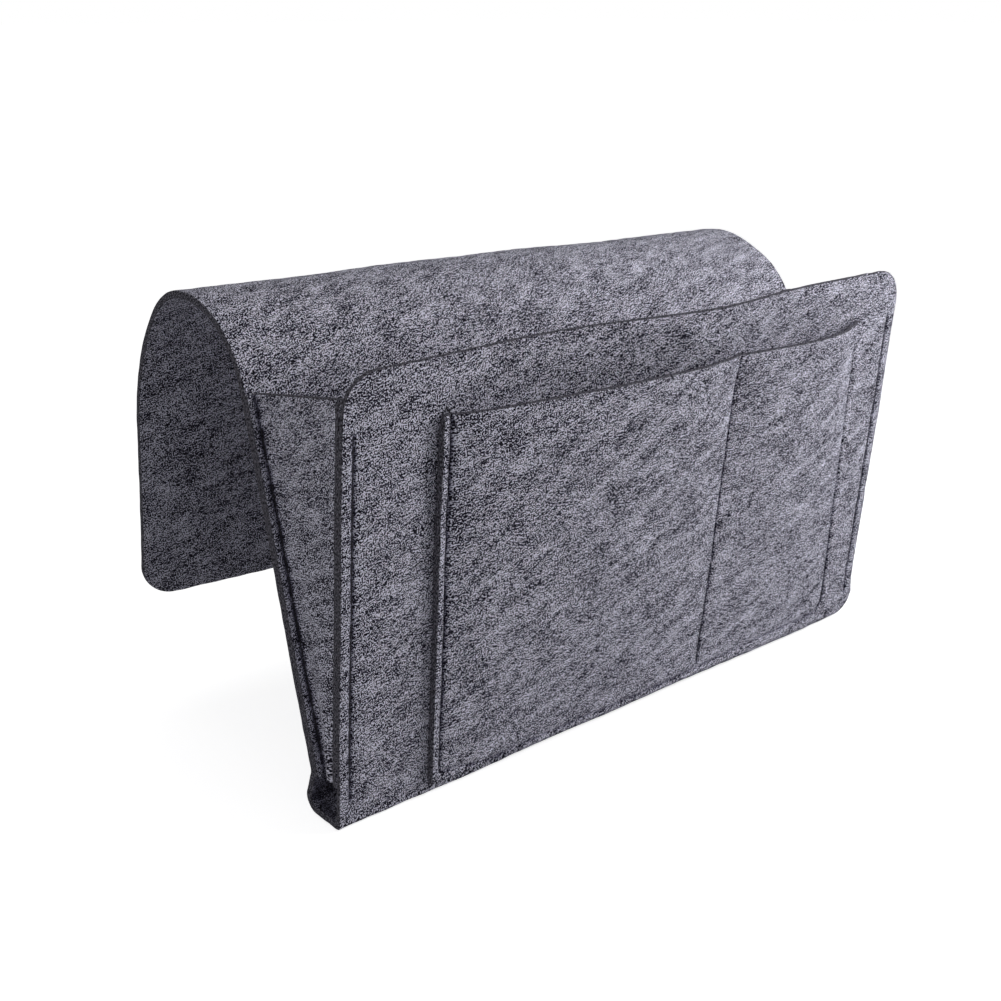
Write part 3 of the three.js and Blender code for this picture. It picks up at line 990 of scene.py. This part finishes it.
    def sink(self, x: Array, along_arch: Array) -> Array:
        """Return how far the saddle sinks between the hinges, more towards the right end.

        Along the arch it is a bell from just before the pouch hinge to just past the flap hinge, fuller at
        the front; along X it grows as the power 1.5 of the distance from the left end. Near the left end the
        front of the arch sags too, as half a sine from the hinge to a little past the crown.
        """
        before, past = self.sink_past
        arch = self.crown_front + self.crown_rear_radius * math.radians(self.crown_rear_turn)
        share = np.clip((along_arch + before) / (arch + before + past), 0.0, 1.0)
        grow = np.clip(0.5 + x / self.length, 0.0, 1.0) ** 1.5
        sag = self.front_sag * (1 - smooth_step(x, -self.length / 2, self.sag_ends_x))
        slack = np.sin(math.pi * np.clip(along_arch / (self.sag_reach * self.crown_front), 0.0, 1.0))
        return self.crown_sink * grow * np.sin(math.pi * share ** 0.8) ** 1.5 + sag * slack

    def ease_corner(self, points: Array, away: Array) -> Array:
        """Round the lower right corner, where the fold has no gusset to hold it square.

        Near the end the fold rises as the power 2.5 of the distance, and it flares to the right; both fade
        with the distance away from the fold.

        Args:
            points: places on the cut.
            away: distance of each from the fold.

        Returns:
            The eased places.
        """
        start = self.length / 2 - self.corner_reach
        reach = np.clip((points[..., 0] - start) / self.corner_reach, 0.0, 1.0)
        eased = points.copy()
        eased[..., 2] += self.corner_lift * reach ** 2.5 * (1 - smooth_step(away, 0.0, self.corner_fade))
        eased[..., 0] += self.corner_flare * reach * bell(away, self.flare_at, self.flare_width)
        return eased

    def billow(self, x: Array, height: Array) -> Array:
        """Return how far the front panel stands out of its plane.

        A bulge right of the middle and a hollow left of it, both bells along X, grow as the power 1.3 of the
        height.
        """
        bulge = self.front_bulge * bell(x, self.bulge_at, self.bulge_width)
        hollow = self.front_hollow * bell(x, self.hollow_at, self.hollow_width)
        return (bulge - hollow) * np.clip(height / self.front_height, 0.0, 1.0) ** 1.3

    def strip(self, path: BendPath, rows: Array, width: Array) -> tuple[Array, Array, Array]:
        """Carry the columns along a path.

        Args:
            path: the middle line in YZ.
            rows: distances along it.
            width: half width at each row.

        Returns:
            Points on the middle of the felt, left normals of the path, and X, in rows by columns.
        """
        x = self.columns()[None, :] * width[:, None]
        y, z, heading = (values[:, None] + 0 * x for values in path.at(rows))
        return np.stack((x, y, z), axis=-1), np.stack((0 * x, -np.sin(heading), np.cos(heading)), axis=-1), x

    def held_between(self, height: Array, low: tuple[float, float], high: float) -> Array:
        """Return from 0 to 1 how fully a seam holds the felt, from a range of heights up to its end."""
        before, past = self.seam_fade
        return smooth_step(height, *low) * (1 - smooth_step(height, high - before, high + past))

    def squeeze(self, x: Array, height: Array, seam: tuple[float, float]) -> Array:
        """Return from 0 to 1 how hard the gusset seams squeeze the felt near the two ends."""
        end = self.length / 2
        full = end - self.front_seam_inset - self.squeeze_clear
        reach = smooth_step(np.abs(x), end - self.squeeze_reach, full)
        before, past = self.squeeze_start
        return reach * self.held_between(height, (seam[0] - before, seam[0] + past), seam[1])

    def free_edge(self, x: Array, height: Array, width: Array) -> Array:
        """Return from 0 to 1 how near the front's felt is to a cut edge that no seam holds.

        The top edge counts, and so do the ends, but these only above the fold and where there is no flange.
        """
        low, high = self.flange_seam
        top = smooth_step(height, self.front_height - self.thin_top, self.front_height)
        ends = smooth_step(np.abs(x) - width, -self.thin_end, 0.0) * smooth_step(height, *self.thin_above)
        return np.maximum(top, ends * (1 - self.held_between(height, (low, low + self.flange_start), high)))

    def end_seams(self, inset: float, heights: tuple[float, float]) -> tuple[SeamLine, ...]:
        """Return the left and right seam lines at an inset from the ends, between two heights."""
        x = self.length / 2 - inset
        return tuple(SeamLine(tuple((side.value * x, height) for height in heights)) for side in Side)

    def from_end_seams(self, x: Array, height: Array, inset: float, heights: tuple[float, float]) -> Array:
        """Return how far each place is from the nearer of the two end seams."""
        left, right = self.end_seams(inset, heights)
        return np.minimum(left.distance(x, height), right.distance(x, height))

    def build_saddle_and_back(self) -> Piece:
        """Make the length from the middle of the base up the back and over the crown."""
        path = self.rising
        rows = path.rows(self.row_step, self.crown_row_turn)
        rows = np.sort(np.concatenate((rows, [path.length - self.butt_row])))
        points, normal, x = self.strip(path, rows, np.full(len(rows), self.length / 2 - RIM_BULGE))
        _, _, _, pinch, back, crown, _, _ = path.knots()
        points = points - normal * self.sink(x, (rows - crown)[:, None])[..., None]
        points = self.ease_corner(points + normal * loft(points)[..., None], rows[:, None] + self.base_split)
        height = (rows - back)[:, None] + 0 * x
        squeeze = self.squeeze(x, height, self.back_seam)
        distance = self.from_end_seams(x, height, self.back_seam_inset, self.back_seam)
        over = self.felt / 2 - self.seam_squeeze * squeeze
        under = self.felt / 2 - self.face_squeeze * squeeze - self.press.at(distance)
        lay = np.stack((x, (rows + BACK_LAY)[:, None] + 0 * x), axis=-1)
        # Painted shade on the inner face of the base fold's tunnel, fading out up the back.
        fold_shade = self.fold_painted_shade * (1 - smooth_step(rows, pinch, pinch + self.fold_fade))[:, None] + 0 * x
        grid = SheetGrid(points, lay, over, under, butt_first=True, butt_last=True, pinch_shade_over=fold_shade,
                         pinch_shade_under=self.press.pinch(distance))
        piece = felt_sheet("saddle_and_back_felt", grid, self.finishes)
        carry(piece, Body.SADDLE, Body.POUCH)
        declare_sheet(("saddle", "back_panel"), (self.length, path.length), Held.HUNG)
        return piece

    def build_rear_flap(self) -> Piece:
        """Make the length that hangs behind the arm, bowed in plan and with two rounded corners."""
        path = self.falling
        rows, width = self.rounded_rows(path, self.flap_corner, self.row_step)
        rows = np.insert(rows, 1, self.butt_row)
        width = np.insert(width, 1, width[0])
        points, normal, x = self.strip(path, rows, width)
        arch = self.crown_front + self.crown_rear_radius * math.radians(self.split_turn)
        points = points - normal * self.sink(x, (rows + arch)[:, None])[..., None]
        _, shoulder, run, _ = path.knots()
        bow = self.flap_bow * (1 - (2 * x / self.length) ** 2) * smooth_step(rows, shoulder, run)[:, None]
        points = points - normal * bow[..., None]
        points = points + normal * loft(points)[..., None]
        thick = np.full(x.shape, self.felt / 2)
        lay = np.stack((x, (rows + FLAP_LAY)[:, None] + 0 * x), axis=-1)
        grid = SheetGrid(points, lay, thick, thick, butt_first=True)
        piece = felt_sheet("rear_flap_felt", grid, self.finishes)
        carry(piece, Body.SADDLE, Body.FLAP)
        declare_sheet(("rear_flap",), (self.length, path.length), Held.HUNG)
        return piece

    def build_front(self) -> Piece:
        """Make the length from the middle of the base round the crease and up the front panel."""
        path = self.fronting
        rows, width = self.rounded_rows(path, self.front_corner, self.front_row_step)
        points, normal, x = self.strip(path, rows, width)
        _, crease_in, crease_out, _ = path.knots()
        height = (rows - crease_out + self.crease_tangent)[:, None] + 0 * x
        points = points + normal * (loft(points) + self.billow(x, height))[..., None]
        fold = (crease_in + crease_out) / 2
        away = np.where(rows < fold, self.base_split * (1 - rows / fold), rows - fold)
        points = self.ease_corner(points, away[:, None])
        slack = self.top_slack * np.clip(2 * x / self.length, 0.0, 1.0) ** 6
        slack = slack * smooth_step(height, *self.slack_heights)
        points = points - slack[..., None] * np.array(self.slack_way)
        squeeze = self.squeeze(x, height, self.flange_seam)
        distance = self.from_end_seams(x, height, self.front_seam_inset, self.front_seam)
        sharpen = self.crease_sharp * bell(rows, fold, self.crease_width)[:, None]
        thin = self.edge_thin * self.free_edge(x, height, width[:, None])
        over = self.felt / 2 - self.face_squeeze * squeeze - self.press.at(distance) + sharpen
        under = self.felt / 2 - self.seam_squeeze * squeeze - thin
        lay = np.stack((x, rows[:, None] + 0 * x), axis=-1)
        # Painted shade on the inner face of the fold's tunnel, fading out above the crease.
        shade_fades_from = self.crease_shade_from
        fold_shade = self.fold_painted_shade * (1 - smooth_step(height, shade_fades_from, shade_fades_from + self.fold_fade))
        grid = SheetGrid(points, lay, over, under, butt_first=True, pinch_shade_over=self.press.pinch(distance),
                         pinch_shade_under=fold_shade)
        piece = felt_sheet("front_felt", grid, self.finishes)
        carry(piece, Body.POUCH, Body.FRONT)
        declare_sheet(("front_panel",), (self.length, path.length), Held.STRETCHED)
        return piece


@dataclass
class Gusset:
    """A tapered side panel: a web across the end of the pouch with a turned-out flange on each long edge."""

    side: Side
    cut: LongCut
    felt: float = 3.0
    front_recess: float = 6.0
    back_recess: float = 4.9
    bend_radius: float = 1.0
    low_front: float = 17.0
    top_front: float = 171.0
    low_back: float = -3.0
    top_back: float = 146.0
    seat: float = 0.15
    flange_felt: float = 2.3
    groove: float = 0.7
    groove_width: float = 1.1
    groove_fade: float = 3.0
    foot_push: float = 4.6
    push_reach: float = 0.6
    push_skew: float = 0.7
    bend_margin: float = 3.5
    rows: int = 90
    flange_columns: int = 10
    bend_columns: int = 7
    web_columns: int = 40

    def flange(self, recess: float) -> tuple[Array, Array, Array, Array]:
        """Lay the columns of one flange and its bend into the web.

        Args:
            recess: how far the web's outer face lies inside the end of the pouch.

        Returns:
            For each column, the inset from the end, the distance off the panel, the flat length from the tip,
            and from 0 to 1 how hard the seam squeezes the felt.
        """
        inner = self.bend_radius + self.felt / 2
        web = recess + self.felt / 2
        reach = web - inner
        run = np.linspace(RIM_BULGE, reach, self.flange_columns)
        turn = np.linspace(0.0, math.pi / 2, self.bend_columns + 1)[1:]
        inset = np.concatenate((run, reach + inner * np.sin(turn)))
        off = np.concatenate((0 * run, inner * (1 - np.cos(turn))))
        flat = np.concatenate((run, reach + inner * turn))
        return inset, off, flat, 1 - smooth_step(inset, reach, web)

    def build(self) -> Piece:
        """Make the gusset between the front and back panels.

        Across, a flange runs along the front panel, bends into the web and out again along the back panel.
        The seams squeeze the flanges thin and press a groove into their outer faces. Towards the narrow foot
        the web is pushed out, as half a sine over its width with the peak near the front.

        Returns:
            The piece.
        """
        half = self.felt / 2
        tall = self.top_front - self.low_front
        rise = np.linspace(0.0, 1.0, self.rows)
        front_height = self.low_front + tall * rise
        back_height = self.low_back + (self.top_back - self.low_back) * rise
        front = self.cut.front_frame.place(0 * rise, half + 0 * rise, front_height)
        back = self.cut.back_frame.place(0 * rise, -half + 0 * rise, back_height)
        across = unit(back - front)
        gap = np.linalg.norm(back - front, axis=1)[:, None]
        front_inset, front_off, front_flat, front_squeeze = self.flange(self.front_recess)
        mirrored = (values[::-1] for values in self.flange(self.back_recess))
        back_inset, back_off, back_flat, back_squeeze = mirrored
        web = np.linspace(0.0, 1.0, self.web_columns + 2)[1:-1]
        clear = half + self.seat
        bent = clear + front_off[-1]
        bent_flat = front_flat[-1]
        web_inset = front_inset[-1] * (1 - web) + back_inset[0] * web
        inset = np.concatenate((front_inset, web_inset, back_inset))
        offset = np.concatenate((clear + front_off, bent * (1 - 2 * web), -clear - back_off))
        share = np.concatenate((0 * front_inset, web, 1 + 0 * back_inset))
        flat = np.concatenate((front_flat, bent_flat + 0 * web, bent_flat + back_flat[0] - back_flat))
        squeeze = np.concatenate((front_squeeze, 0 * web, back_squeeze))
        thinner = (self.felt - self.flange_felt) / 2
        pull = self.seat + self.cut.seam_squeeze + thinner
        at_front = share < 0.5
        along = offset + share * gap + np.where(at_front, -pull, pull) * squeeze
        points = front[:, None] + across[:, None] * along[..., None]
        push = self.foot_push * (1 - smooth_step(rise, 0.0, self.push_reach))[:, None]
        push = push * np.sin(math.pi * share ** self.push_skew)
        points[..., 0] = self.side.value * (self.cut.length / 2 - inset + push)
        points = points - across[:, None] * loft(points)[..., None]
        seam = np.where(at_front, self.cut.front_seam_inset, self.cut.back_seam_inset)
        height = np.where(at_front, front_height[:, None], back_height[:, None])
        ends = np.where(at_front, self.cut.flange_seam[1], self.top_back)
        on_flange = (share == 0) | (share == 1)
        # The groove's bell also darkens the flange's colour: tight fibres and painted shade of the groove and
        # crease.
        pinch = bell(inset, seam, self.groove_width) * on_flange
        pinch = pinch * (1 - smooth_step(height, ends, ends + self.groove_fade))
        thick = half - squeeze * thinner + 0 * along
        width = flat + share * (gap - 2 * bent)
        lay = np.stack((width + self.side.value * GUSSET_LAY, (rise * tall)[:, None] + 0 * along), axis=-1)
        arrays = (points, lay, thick, thick - self.groove * pinch, pinch)
        if self.side is Side.RIGHT:
            arrays = tuple(values[:, ::-1] for values in arrays)
        points, lay, inside, outside, pinch = arrays
        name = f"{self.side.name.lower()}_gusset"
        piece = felt_sheet(name + "_felt", SheetGrid(points, lay, inside, outside, pinch_shade_under=pinch),
                           self.cut.finishes)
        carry(piece, Body.POUCH, Body.FRONT)
        flat_width = width[:, -1]
        declare_sheet((name,), (float(flat_width.max()), tall), Held.STRETCHED)
        return piece


@dataclass
class PatchPocket:
    """The patch pocket on the front panel, sewn round three sides and divided by one row of stitches."""

    cut: LongCut
    felt: float = 3.0
    left: float = -118.0
    right: float = 135.5
    right_skew: float = 7.0
    low: float = 4.5
    height: float = 156.0
    divider_x: float = 39.0
    divider_skew: float = -2.0
    seat: float = 0.08

    # The seams, as distances from the pocket's edges.
    seam: float = 4.3
    seam_corner: float = 8.0
    seam_bite: float = 0.3
    seam_past_mouth: float = 2.0
    seam_under_mouth: float = 0.6
    divider_under_mouth: float = 1.0
    seam_dip: float = 3.7
    dip_over: float = 25.0
    hem_points: int = 39
    arc_points: int = 9

    # The hem and the other edges outside the seams.
    hem_rows_to: float = 10.0
    hem_drop: float = 1.25
    drop_over: float = 60.0
    hem_tuck: float = 0.3
    hem_shade_share: float = 0.4
    hem_fade: float = 3.0
    flare: float = 0.5
    loft_free_from: float = 18.0

    # How the two compartments stand off the panel.
    wide_swell: float = 10.6
    narrow_swell: float = 9.6
    mouth_gape: float = 1.0
    gape_width: float = 9.0
    gape_depth: float = 14.0
    fold_depth: float = 0.9
    fold_width: float = 2.2
    fold_inset: float = 8.5
    fold_length: float = 55.0

    # Counts of the grid, and how far its columns crowd.
    hem_rows: int = 14
    rows: int = 108
    columns: tuple[int, ...] = (6, 124, 82, 6)
    crowding: tuple[float, ...] = (0.0, 0.55, 0.55, 0.0)

    @property
    def top(self) -> float:
        """Return the height of the mouth's edge."""
        return self.low + self.height

    @property
    def seam_low(self) -> float:
        """Return the height of the bottom seam at its two ends."""
        return self.low + self.seam

    def knots(self, height: Array) -> Array:
        """Return X of the left edge, left seam, divider, right seam and right edge at some heights."""
        share = (height - self.low) / self.height
        left = self.left + 0 * share
        right = self.right - self.right_skew * share
        divider = self.divider_x + self.divider_skew * share
        return np.stack((left, left + self.seam, divider, right - self.seam, right), axis=-1)

    def swell(self, x: Array, height: Array) -> Array:
        """Return how far the pocket stands off the panel.

        In each compartment it is a power of a sine over the width, with its peak drawn a little to the side
        away from the divider, times a power of the height above the bottom seam. A soft fold runs down beside
        the right seam, and the divider gapes a little at the mouth.
        """
        knots = self.knots(height)
        left, divider, right = knots[..., 1], knots[..., 2], knots[..., 3]
        rise = np.clip((height - self.seam_low) / (self.height - self.seam), 0.0, 1.0)
        wide = np.clip((x - left) / (divider - left), 0.0, 1.0)
        narrow = np.clip((right - x) / (right - divider), 0.0, 1.0)
        stand = (self.wide_swell * np.sin(math.pi * wide ** 0.85) ** 0.75
                 + self.narrow_swell * np.sin(math.pi * narrow ** 0.85) ** 0.85) * rise ** 0.9
        fade = 1 - smooth_step(self.top - height, 0.0, self.fold_length)
        fold = self.fold_depth * bell(x, right - self.fold_inset, self.fold_width) * fade
        mouth = smooth_step(height, self.top - self.gape_depth, self.top)
        return stand - fold + self.mouth_gape * bell(x, divider, self.gape_width) * mouth

    def hem_seam(self, x: Array) -> Array:
        """Return the height of the bottom seam, which dips towards the hem between its two ends."""
        left = self.left + self.seam
        arc = self.right - self.seam - self.seam_corner
        dip = smooth_step(x, left, left + self.dip_over) * (1 - smooth_step(x, 0.0, arc))
        return self.seam_low - self.seam_dip * dip

    def above_hem(self, height: Array) -> Array:
        """Return 0 in the hem, rising to 1 a little above the bottom seam."""
        return smooth_step(height, self.seam_low, self.seam_low + self.hem_fade)

    def border_seam(self) -> SeamLine:
        """Return the seam round three sides, from the top left down, along and up.

        It starts a little past the mouth, on the panel, has an arc at the lower right and ends just under the
        mouth.
        """
        radius, low, left = self.seam_corner, self.seam_low, self.left + self.seam
        right_low, right_top = (float(x) for x in self.knots(np.array((low, self.top)))[:, 3])
        run = np.linspace(left, right_low - radius, self.hem_points + 1)[:-1]
        hem = zip(run.tolist(), self.hem_seam(run).tolist())
        turn = np.linspace(-math.pi / 2, 0.0, self.arc_points)
        arc = [(right_low - radius * (1 - math.cos(a)), low + radius * (1 + math.sin(a))) for a in turn]
        return SeamLine(((left, self.top + self.seam_past_mouth), *hem, *arc,
                         (right_top, self.top - self.seam_under_mouth)))

    def divider_seam(self) -> SeamLine:
        """Return the seam between the two compartments."""
        low = float(self.hem_seam(np.array(self.divider_x)))
        top = self.top - self.divider_under_mouth
        x = self.knots(np.array((low, top)))[:, 2]
        return SeamLine(((float(x[0]), low), (float(x[1]), top)))

    def build(self) -> Piece:
        """Make the pocket's felt over the front panel.

        Columns follow the left seam, the divider and the right seam, and crowd towards the seams as t less a
        share of sin(2 pi t). Along the seams the felt keeps to the panel's loft; away from them it has its
        own.

        Returns:
            The piece.
        """
        half = self.felt / 2
        hem_top = self.low + self.hem_rows_to
        hem = np.linspace(self.low + RIM_BULGE, hem_top, self.hem_rows + 1)[:-1]
        height = np.concatenate((hem, np.linspace(hem_top, self.top - RIM_BULGE, self.rows)))[:, None]
        last = len(self.columns) - 1
        zone = np.concatenate((np.repeat(np.arange(last + 1), self.columns), [last]))
        even = [(np.arange(count) / count, crowd) for count, crowd in zip(self.columns, self.crowding)]
        crowded = [t - crowd * np.sin(2 * math.pi * t) / (2 * math.pi) for t, crowd in even]
        share = np.concatenate((*crowded, [1.0]))
        knots = self.knots(height[:, 0])
        knots[:, 0] += RIM_BULGE
        knots[:, -1] -= RIM_BULGE
        x = knots[:, zone] * (1 - share) + knots[:, zone + 1] * share
        lip = np.minimum(np.minimum(x - knots[:, :1], knots[:, -1:] - x), height - self.low)
        drop = self.hem_drop * smooth_step(x, self.left, self.left + self.drop_over)
        height = height - drop * (1 - smooth_step(height, self.low, hem_top))
        distance = np.minimum(self.border_seam().distance(x, height), self.divider_seam().distance(x, height))
        flare = self.flare * (1 - smooth_step(lip, 0.0, self.seam))
        stand = half + self.seat + half + self.swell(x, height) + flare + self.cut.billow(x, height)
        place = self.cut.front_frame.place
        points, panel = place(x, -stand, height), place(x, 0 * x, height)
        outward = place(x, 0 * x - 1, height) - panel
        free = smooth_step(np.minimum(distance, lip), self.seam, self.loft_free_from)
        beneath = loft(panel)
        points = points + outward * (beneath + free * (loft(points) - beneath))[..., None]
        pinch = self.cut.press.pinch(distance)
        thin = self.cut.edge_thin * smooth_step(height, self.top - self.cut.thin_top, self.top)
        over = half - self.cut.press.at(distance)
        under = half - thin + self.seam_bite * pinch
        lay = np.stack((x, height + POCKET_LAY), axis=-1)
        # Seams darken the pocket's colour, as tight fibres and painted shade of the grooves; the hem keeps
        # less of it.
        packed_and_shaded = pinch * (self.hem_shade_share + (1 - self.hem_shade_share) * self.above_hem(height))
        grid = SheetGrid(points, lay, over, under, pinch_shade_over=packed_and_shaded)
        piece = felt_sheet("patch_pocket_felt", grid, self.cut.finishes)
        carry(piece, Body.FRONT)
        widest = self.right - self.left
        declare_sheet(("front_pocket",), (widest, self.height), Held.STRETCHED)
        return piece


@dataclass
class Stitching:
    """Every row of lock stitches, each as its needle thread and its bobbin thread."""

    cut: LongCut
    pocket: PatchPocket
    gusset: Gusset
    run: ThreadRun = field(default_factory=ThreadRun)
    mouth_step: tuple[float, float] = (-0.3, 1.0)

    def thread(self, name: str, seam: SeamLine, panel: PanelFrame, depth: float, out: float, body: Body,
               step: float = 0.0) -> None:
        """Make one thread on one face.

        Args:
            name: the thread node that it stands for, without its last word.
            seam: the line of stitches.
            panel: the frame of the panel.
            depth: where the pressed face lies, from the middle of the panel's felt towards +Y.
            out: 1 where the face looks to +Y, -1 where it looks to -Y.
            body: what carries it.
            step: for a thread on the pocket, how far it steps down past the mouth, onto the panel.
        """
        pocket = self.pocket
        mouth = [pocket.top + past for past in self.mouth_step]
        tuck = pocket.hem_tuck if step else 0.0

        def place(x: Array, height: Array, rise: Array) -> Array:
            """Return places at a rise above the face, which moves with the loft and the front's billow."""
            shift = loft(panel.place(x, np.full(x.shape, depth), height))
            if panel is self.cut.front_frame:
                shift = shift + self.cut.billow(x, height)
            lower = step * smooth_step(height, *mouth) + tuck * (1 - pocket.above_hem(height))
            return panel.place(x, depth - shift + out * (rise - lower), height)

        piece = self.run.build(name + "_stitches", seam, place, self.cut.finishes)
        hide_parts(name + "_thread")
        carry(piece, body)

    def build(self) -> None:
        """Make the gusset seams at both ends, the pocket's border and the divider."""
        cut, pocket = self.cut, self.pocket
        half = cut.felt / 2
        pressed = half - cut.face_squeeze - cut.press.depth
        flange = half - cut.seam_squeeze + self.gusset.flange_felt - self.gusset.groove
        front_seams = cut.end_seams(cut.front_seam_inset, cut.front_seam)
        flange_seams = cut.end_seams(cut.front_seam_inset, cut.flange_seam)
        back_seams = cut.end_seams(cut.back_seam_inset, cut.back_seam)
        for side, outer, inner, rear in zip(Side, front_seams, flange_seams, back_seams):
            name = side.name.lower()
            self.thread(f"{name}_front_needle", outer, cut.front_frame, -pressed, -1, Body.FRONT)
            self.thread(f"{name}_front_bobbin", inner, cut.front_frame, flange, 1, Body.FRONT)
            self.thread(f"{name}_back_needle", rear, cut.back_frame, -flange, -1, Body.POUCH)
            self.thread(f"{name}_back_bobbin", rear, cut.back_frame, pressed, 1, Body.POUCH)
        face = half + pocket.seat + pocket.felt - cut.press.depth
        for name, seam in (("pocket", pocket.border_seam()), ("divider", pocket.divider_seam())):
            self.thread(f"{name}_needle", seam, cut.front_frame, -face, -1, Body.FRONT, face - half)
            self.thread(f"{name}_bobbin", seam, cut.front_frame, half, 1, Body.FRONT)


@dataclass(frozen=True)
class Lamp:
    """A square soft box: where it stands, how wide it is and how strong."""

    name: str
    place: tuple[float, float, float]
    width: float
    power: float


@dataclass
class Studio:
    """A pale floor, soft boxes, an even surround and the camera of the photograph."""

    floor_z: float = -190.6
    floor_width: float = 40000.0
    floor_colour: str = "#e9e9ea"
    floor_roughness: float = 0.9
    floor_specular: float = 0.1
    floor_glow: tuple[float, float] = (0.8, 0.88)
    glow_reach: tuple[float, float] = (900.0, 2000.0)
    surround: float = 0.19
    eye: tuple[float, float, float] = (-417.6, -485.1, 110.5)
    heading_deg: float = 40.62
    pitch_deg: float = -19.45
    lens_mm: float = 50.7
    film_mm: float = 36.0
    nearest: float = 10.0
    target: tuple[float, float, float] = (0.0, -40.0, -80.0)
    lamps: tuple[Lamp, ...] = (
        Lamp("key_box", (360.0, -345.0, 190.0), 320.0, 2.0),
        Lamp("top_box", (50.0, 260.0, 1080.0), 900.0, 2.15),
        Lamp("fill_box", (-900.0, -190.0, 250.0), 700.0, 1.02),
    )

    def build(self) -> None:
        """Make the floor, the lamps, the surround and the camera."""
        self.build_floor()
        for lamp in self.lamps:
            self.build_lamp(lamp)
        self.build_surround()
        self.build_camera()

    def floor_material(self) -> Material:
        """Make matt white paper, near white to the camera and whiter far off, that takes a soft shadow.

        Returns:
            The paper, which glows where the camera sees it, more from one reach to the other.
        """
        material, tree = new_material("matt_white_paper")
        path = add_node(tree, "LightPath")
        seen = add_node(tree, "Math", {
            0: path.outputs["Is Camera Ray"], 1: path.outputs["Is Glossy Ray"]},
            operation="MAXIMUM").outputs[0]
        place = add_node(tree, "TexCoord").outputs["Object"]
        away = add_node(tree, "VectorMath", {0: place}, operation="LENGTH").outputs["Value"]
        lift = add_node(tree, "MapRange", {
            "Value": away, "From Min": self.glow_reach[0] * MM, "From Max": self.glow_reach[1] * MM,
            "To Min": self.floor_glow[0], "To Max": self.floor_glow[1]}).outputs["Result"]
        glow = add_node(tree, "Math", {0: seen, 1: lift}, operation="MULTIPLY").outputs[0]
        shader = add_node(tree, "BsdfPrincipled", {
            "Base Color": linear(self.floor_colour), "Roughness": self.floor_roughness,
            "Specular IOR Level": self.floor_specular,
            "Emission Color": WHITE, "Emission Strength": glow})
        add_node(tree, "OutputMaterial", {"Surface": shader.outputs["BSDF"]})
        return material

    def build_floor(self) -> None:
        """Lay a flat floor just under the base."""
        half = self.floor_width / 2
        corners = np.array(((-half, -half), (half, -half), (half, half), (-half, half)))
        points = np.column_stack((corners, np.full(4, self.floor_z)))
        block = FaceBlock(np.arange(4)[None], corners[None])
        write_mesh("floor", points, (block,), (self.floor_material(),))

    @staticmethod
    def set_up(name: str, data: bpy.types.ID, place: tuple[float, float, float], look: Vector) -> Piece:
        """Link a lamp or the camera at a place in mm, looking along a direction, and return it."""
        thing = bpy.data.objects.new(name, data)
        thing.location = Vector(place) * MM
        thing.rotation_euler = look.to_track_quat("-Z", "Y").to_euler()
        bpy.context.scene.collection.objects.link(thing)
        return thing

    def build_lamp(self, lamp: Lamp) -> None:
        """Hang one soft box and point it at the organizer."""
        light = bpy.data.lights.new(lamp.name, "AREA")
        light.shape = "SQUARE"
        light.size = lamp.width * MM
        light.energy = lamp.power
        self.set_up(lamp.name, light, lamp.place, Vector(self.target) - Vector(lamp.place))

    def build_surround(self) -> None:
        """Light the scene evenly from all round, white where the camera sees it."""
        world = bpy.data.worlds.new("surround")
        world.use_nodes = True
        tree = world.node_tree
        tree.nodes.clear()
        path = add_node(tree, "LightPath")
        strength = add_node(tree, "MapRange", {
            "Value": path.outputs["Is Camera Ray"], "To Min": self.surround, "To Max": 1.0}).outputs["Result"]
        background = add_node(tree, "Background", {"Color": WHITE, "Strength": strength})
        add_node(tree, "OutputWorld", {"Surface": background.outputs["Background"]})
        bpy.context.scene.world = world

    def build_camera(self) -> None:
        """Set the camera at the photograph's view."""
        camera = bpy.data.cameras.new("photo_camera")
        camera.lens = self.lens_mm
        camera.sensor_width = self.film_mm
        camera.clip_start = self.nearest * MM
        heading, pitch = math.radians(self.heading_deg), math.radians(self.pitch_deg)
        level = math.cos(pitch)
        look = Vector((math.sin(heading) * level, math.cos(heading) * level, math.sin(pitch)))
        bpy.context.scene.camera = self.set_up("photo_camera", camera, self.eye, look)


def main() -> None:
    """Build the organizer piece by piece, then the studio."""
    logging.basicConfig(level=logging.INFO, format="%(message)s")
    finishes = Finishes(HeatherFelt().material(), CutFeltEdge().material(), SpunThread().material())
    cut = LongCut(finishes)
    cut.build_saddle_and_back()
    cut.build_rear_flap()
    cut.build_front()
    gussets = [Gusset(side, cut) for side in Side]
    for gusset in gussets:
        gusset.build()
    pocket = PatchPocket(cut)
    pocket.build()
    Stitching(cut, pocket, gussets[0]).build()
    Studio().build()
    bpy.context.scene.view_settings.view_transform = "Standard"


if __name__ == "__main__":
    main()
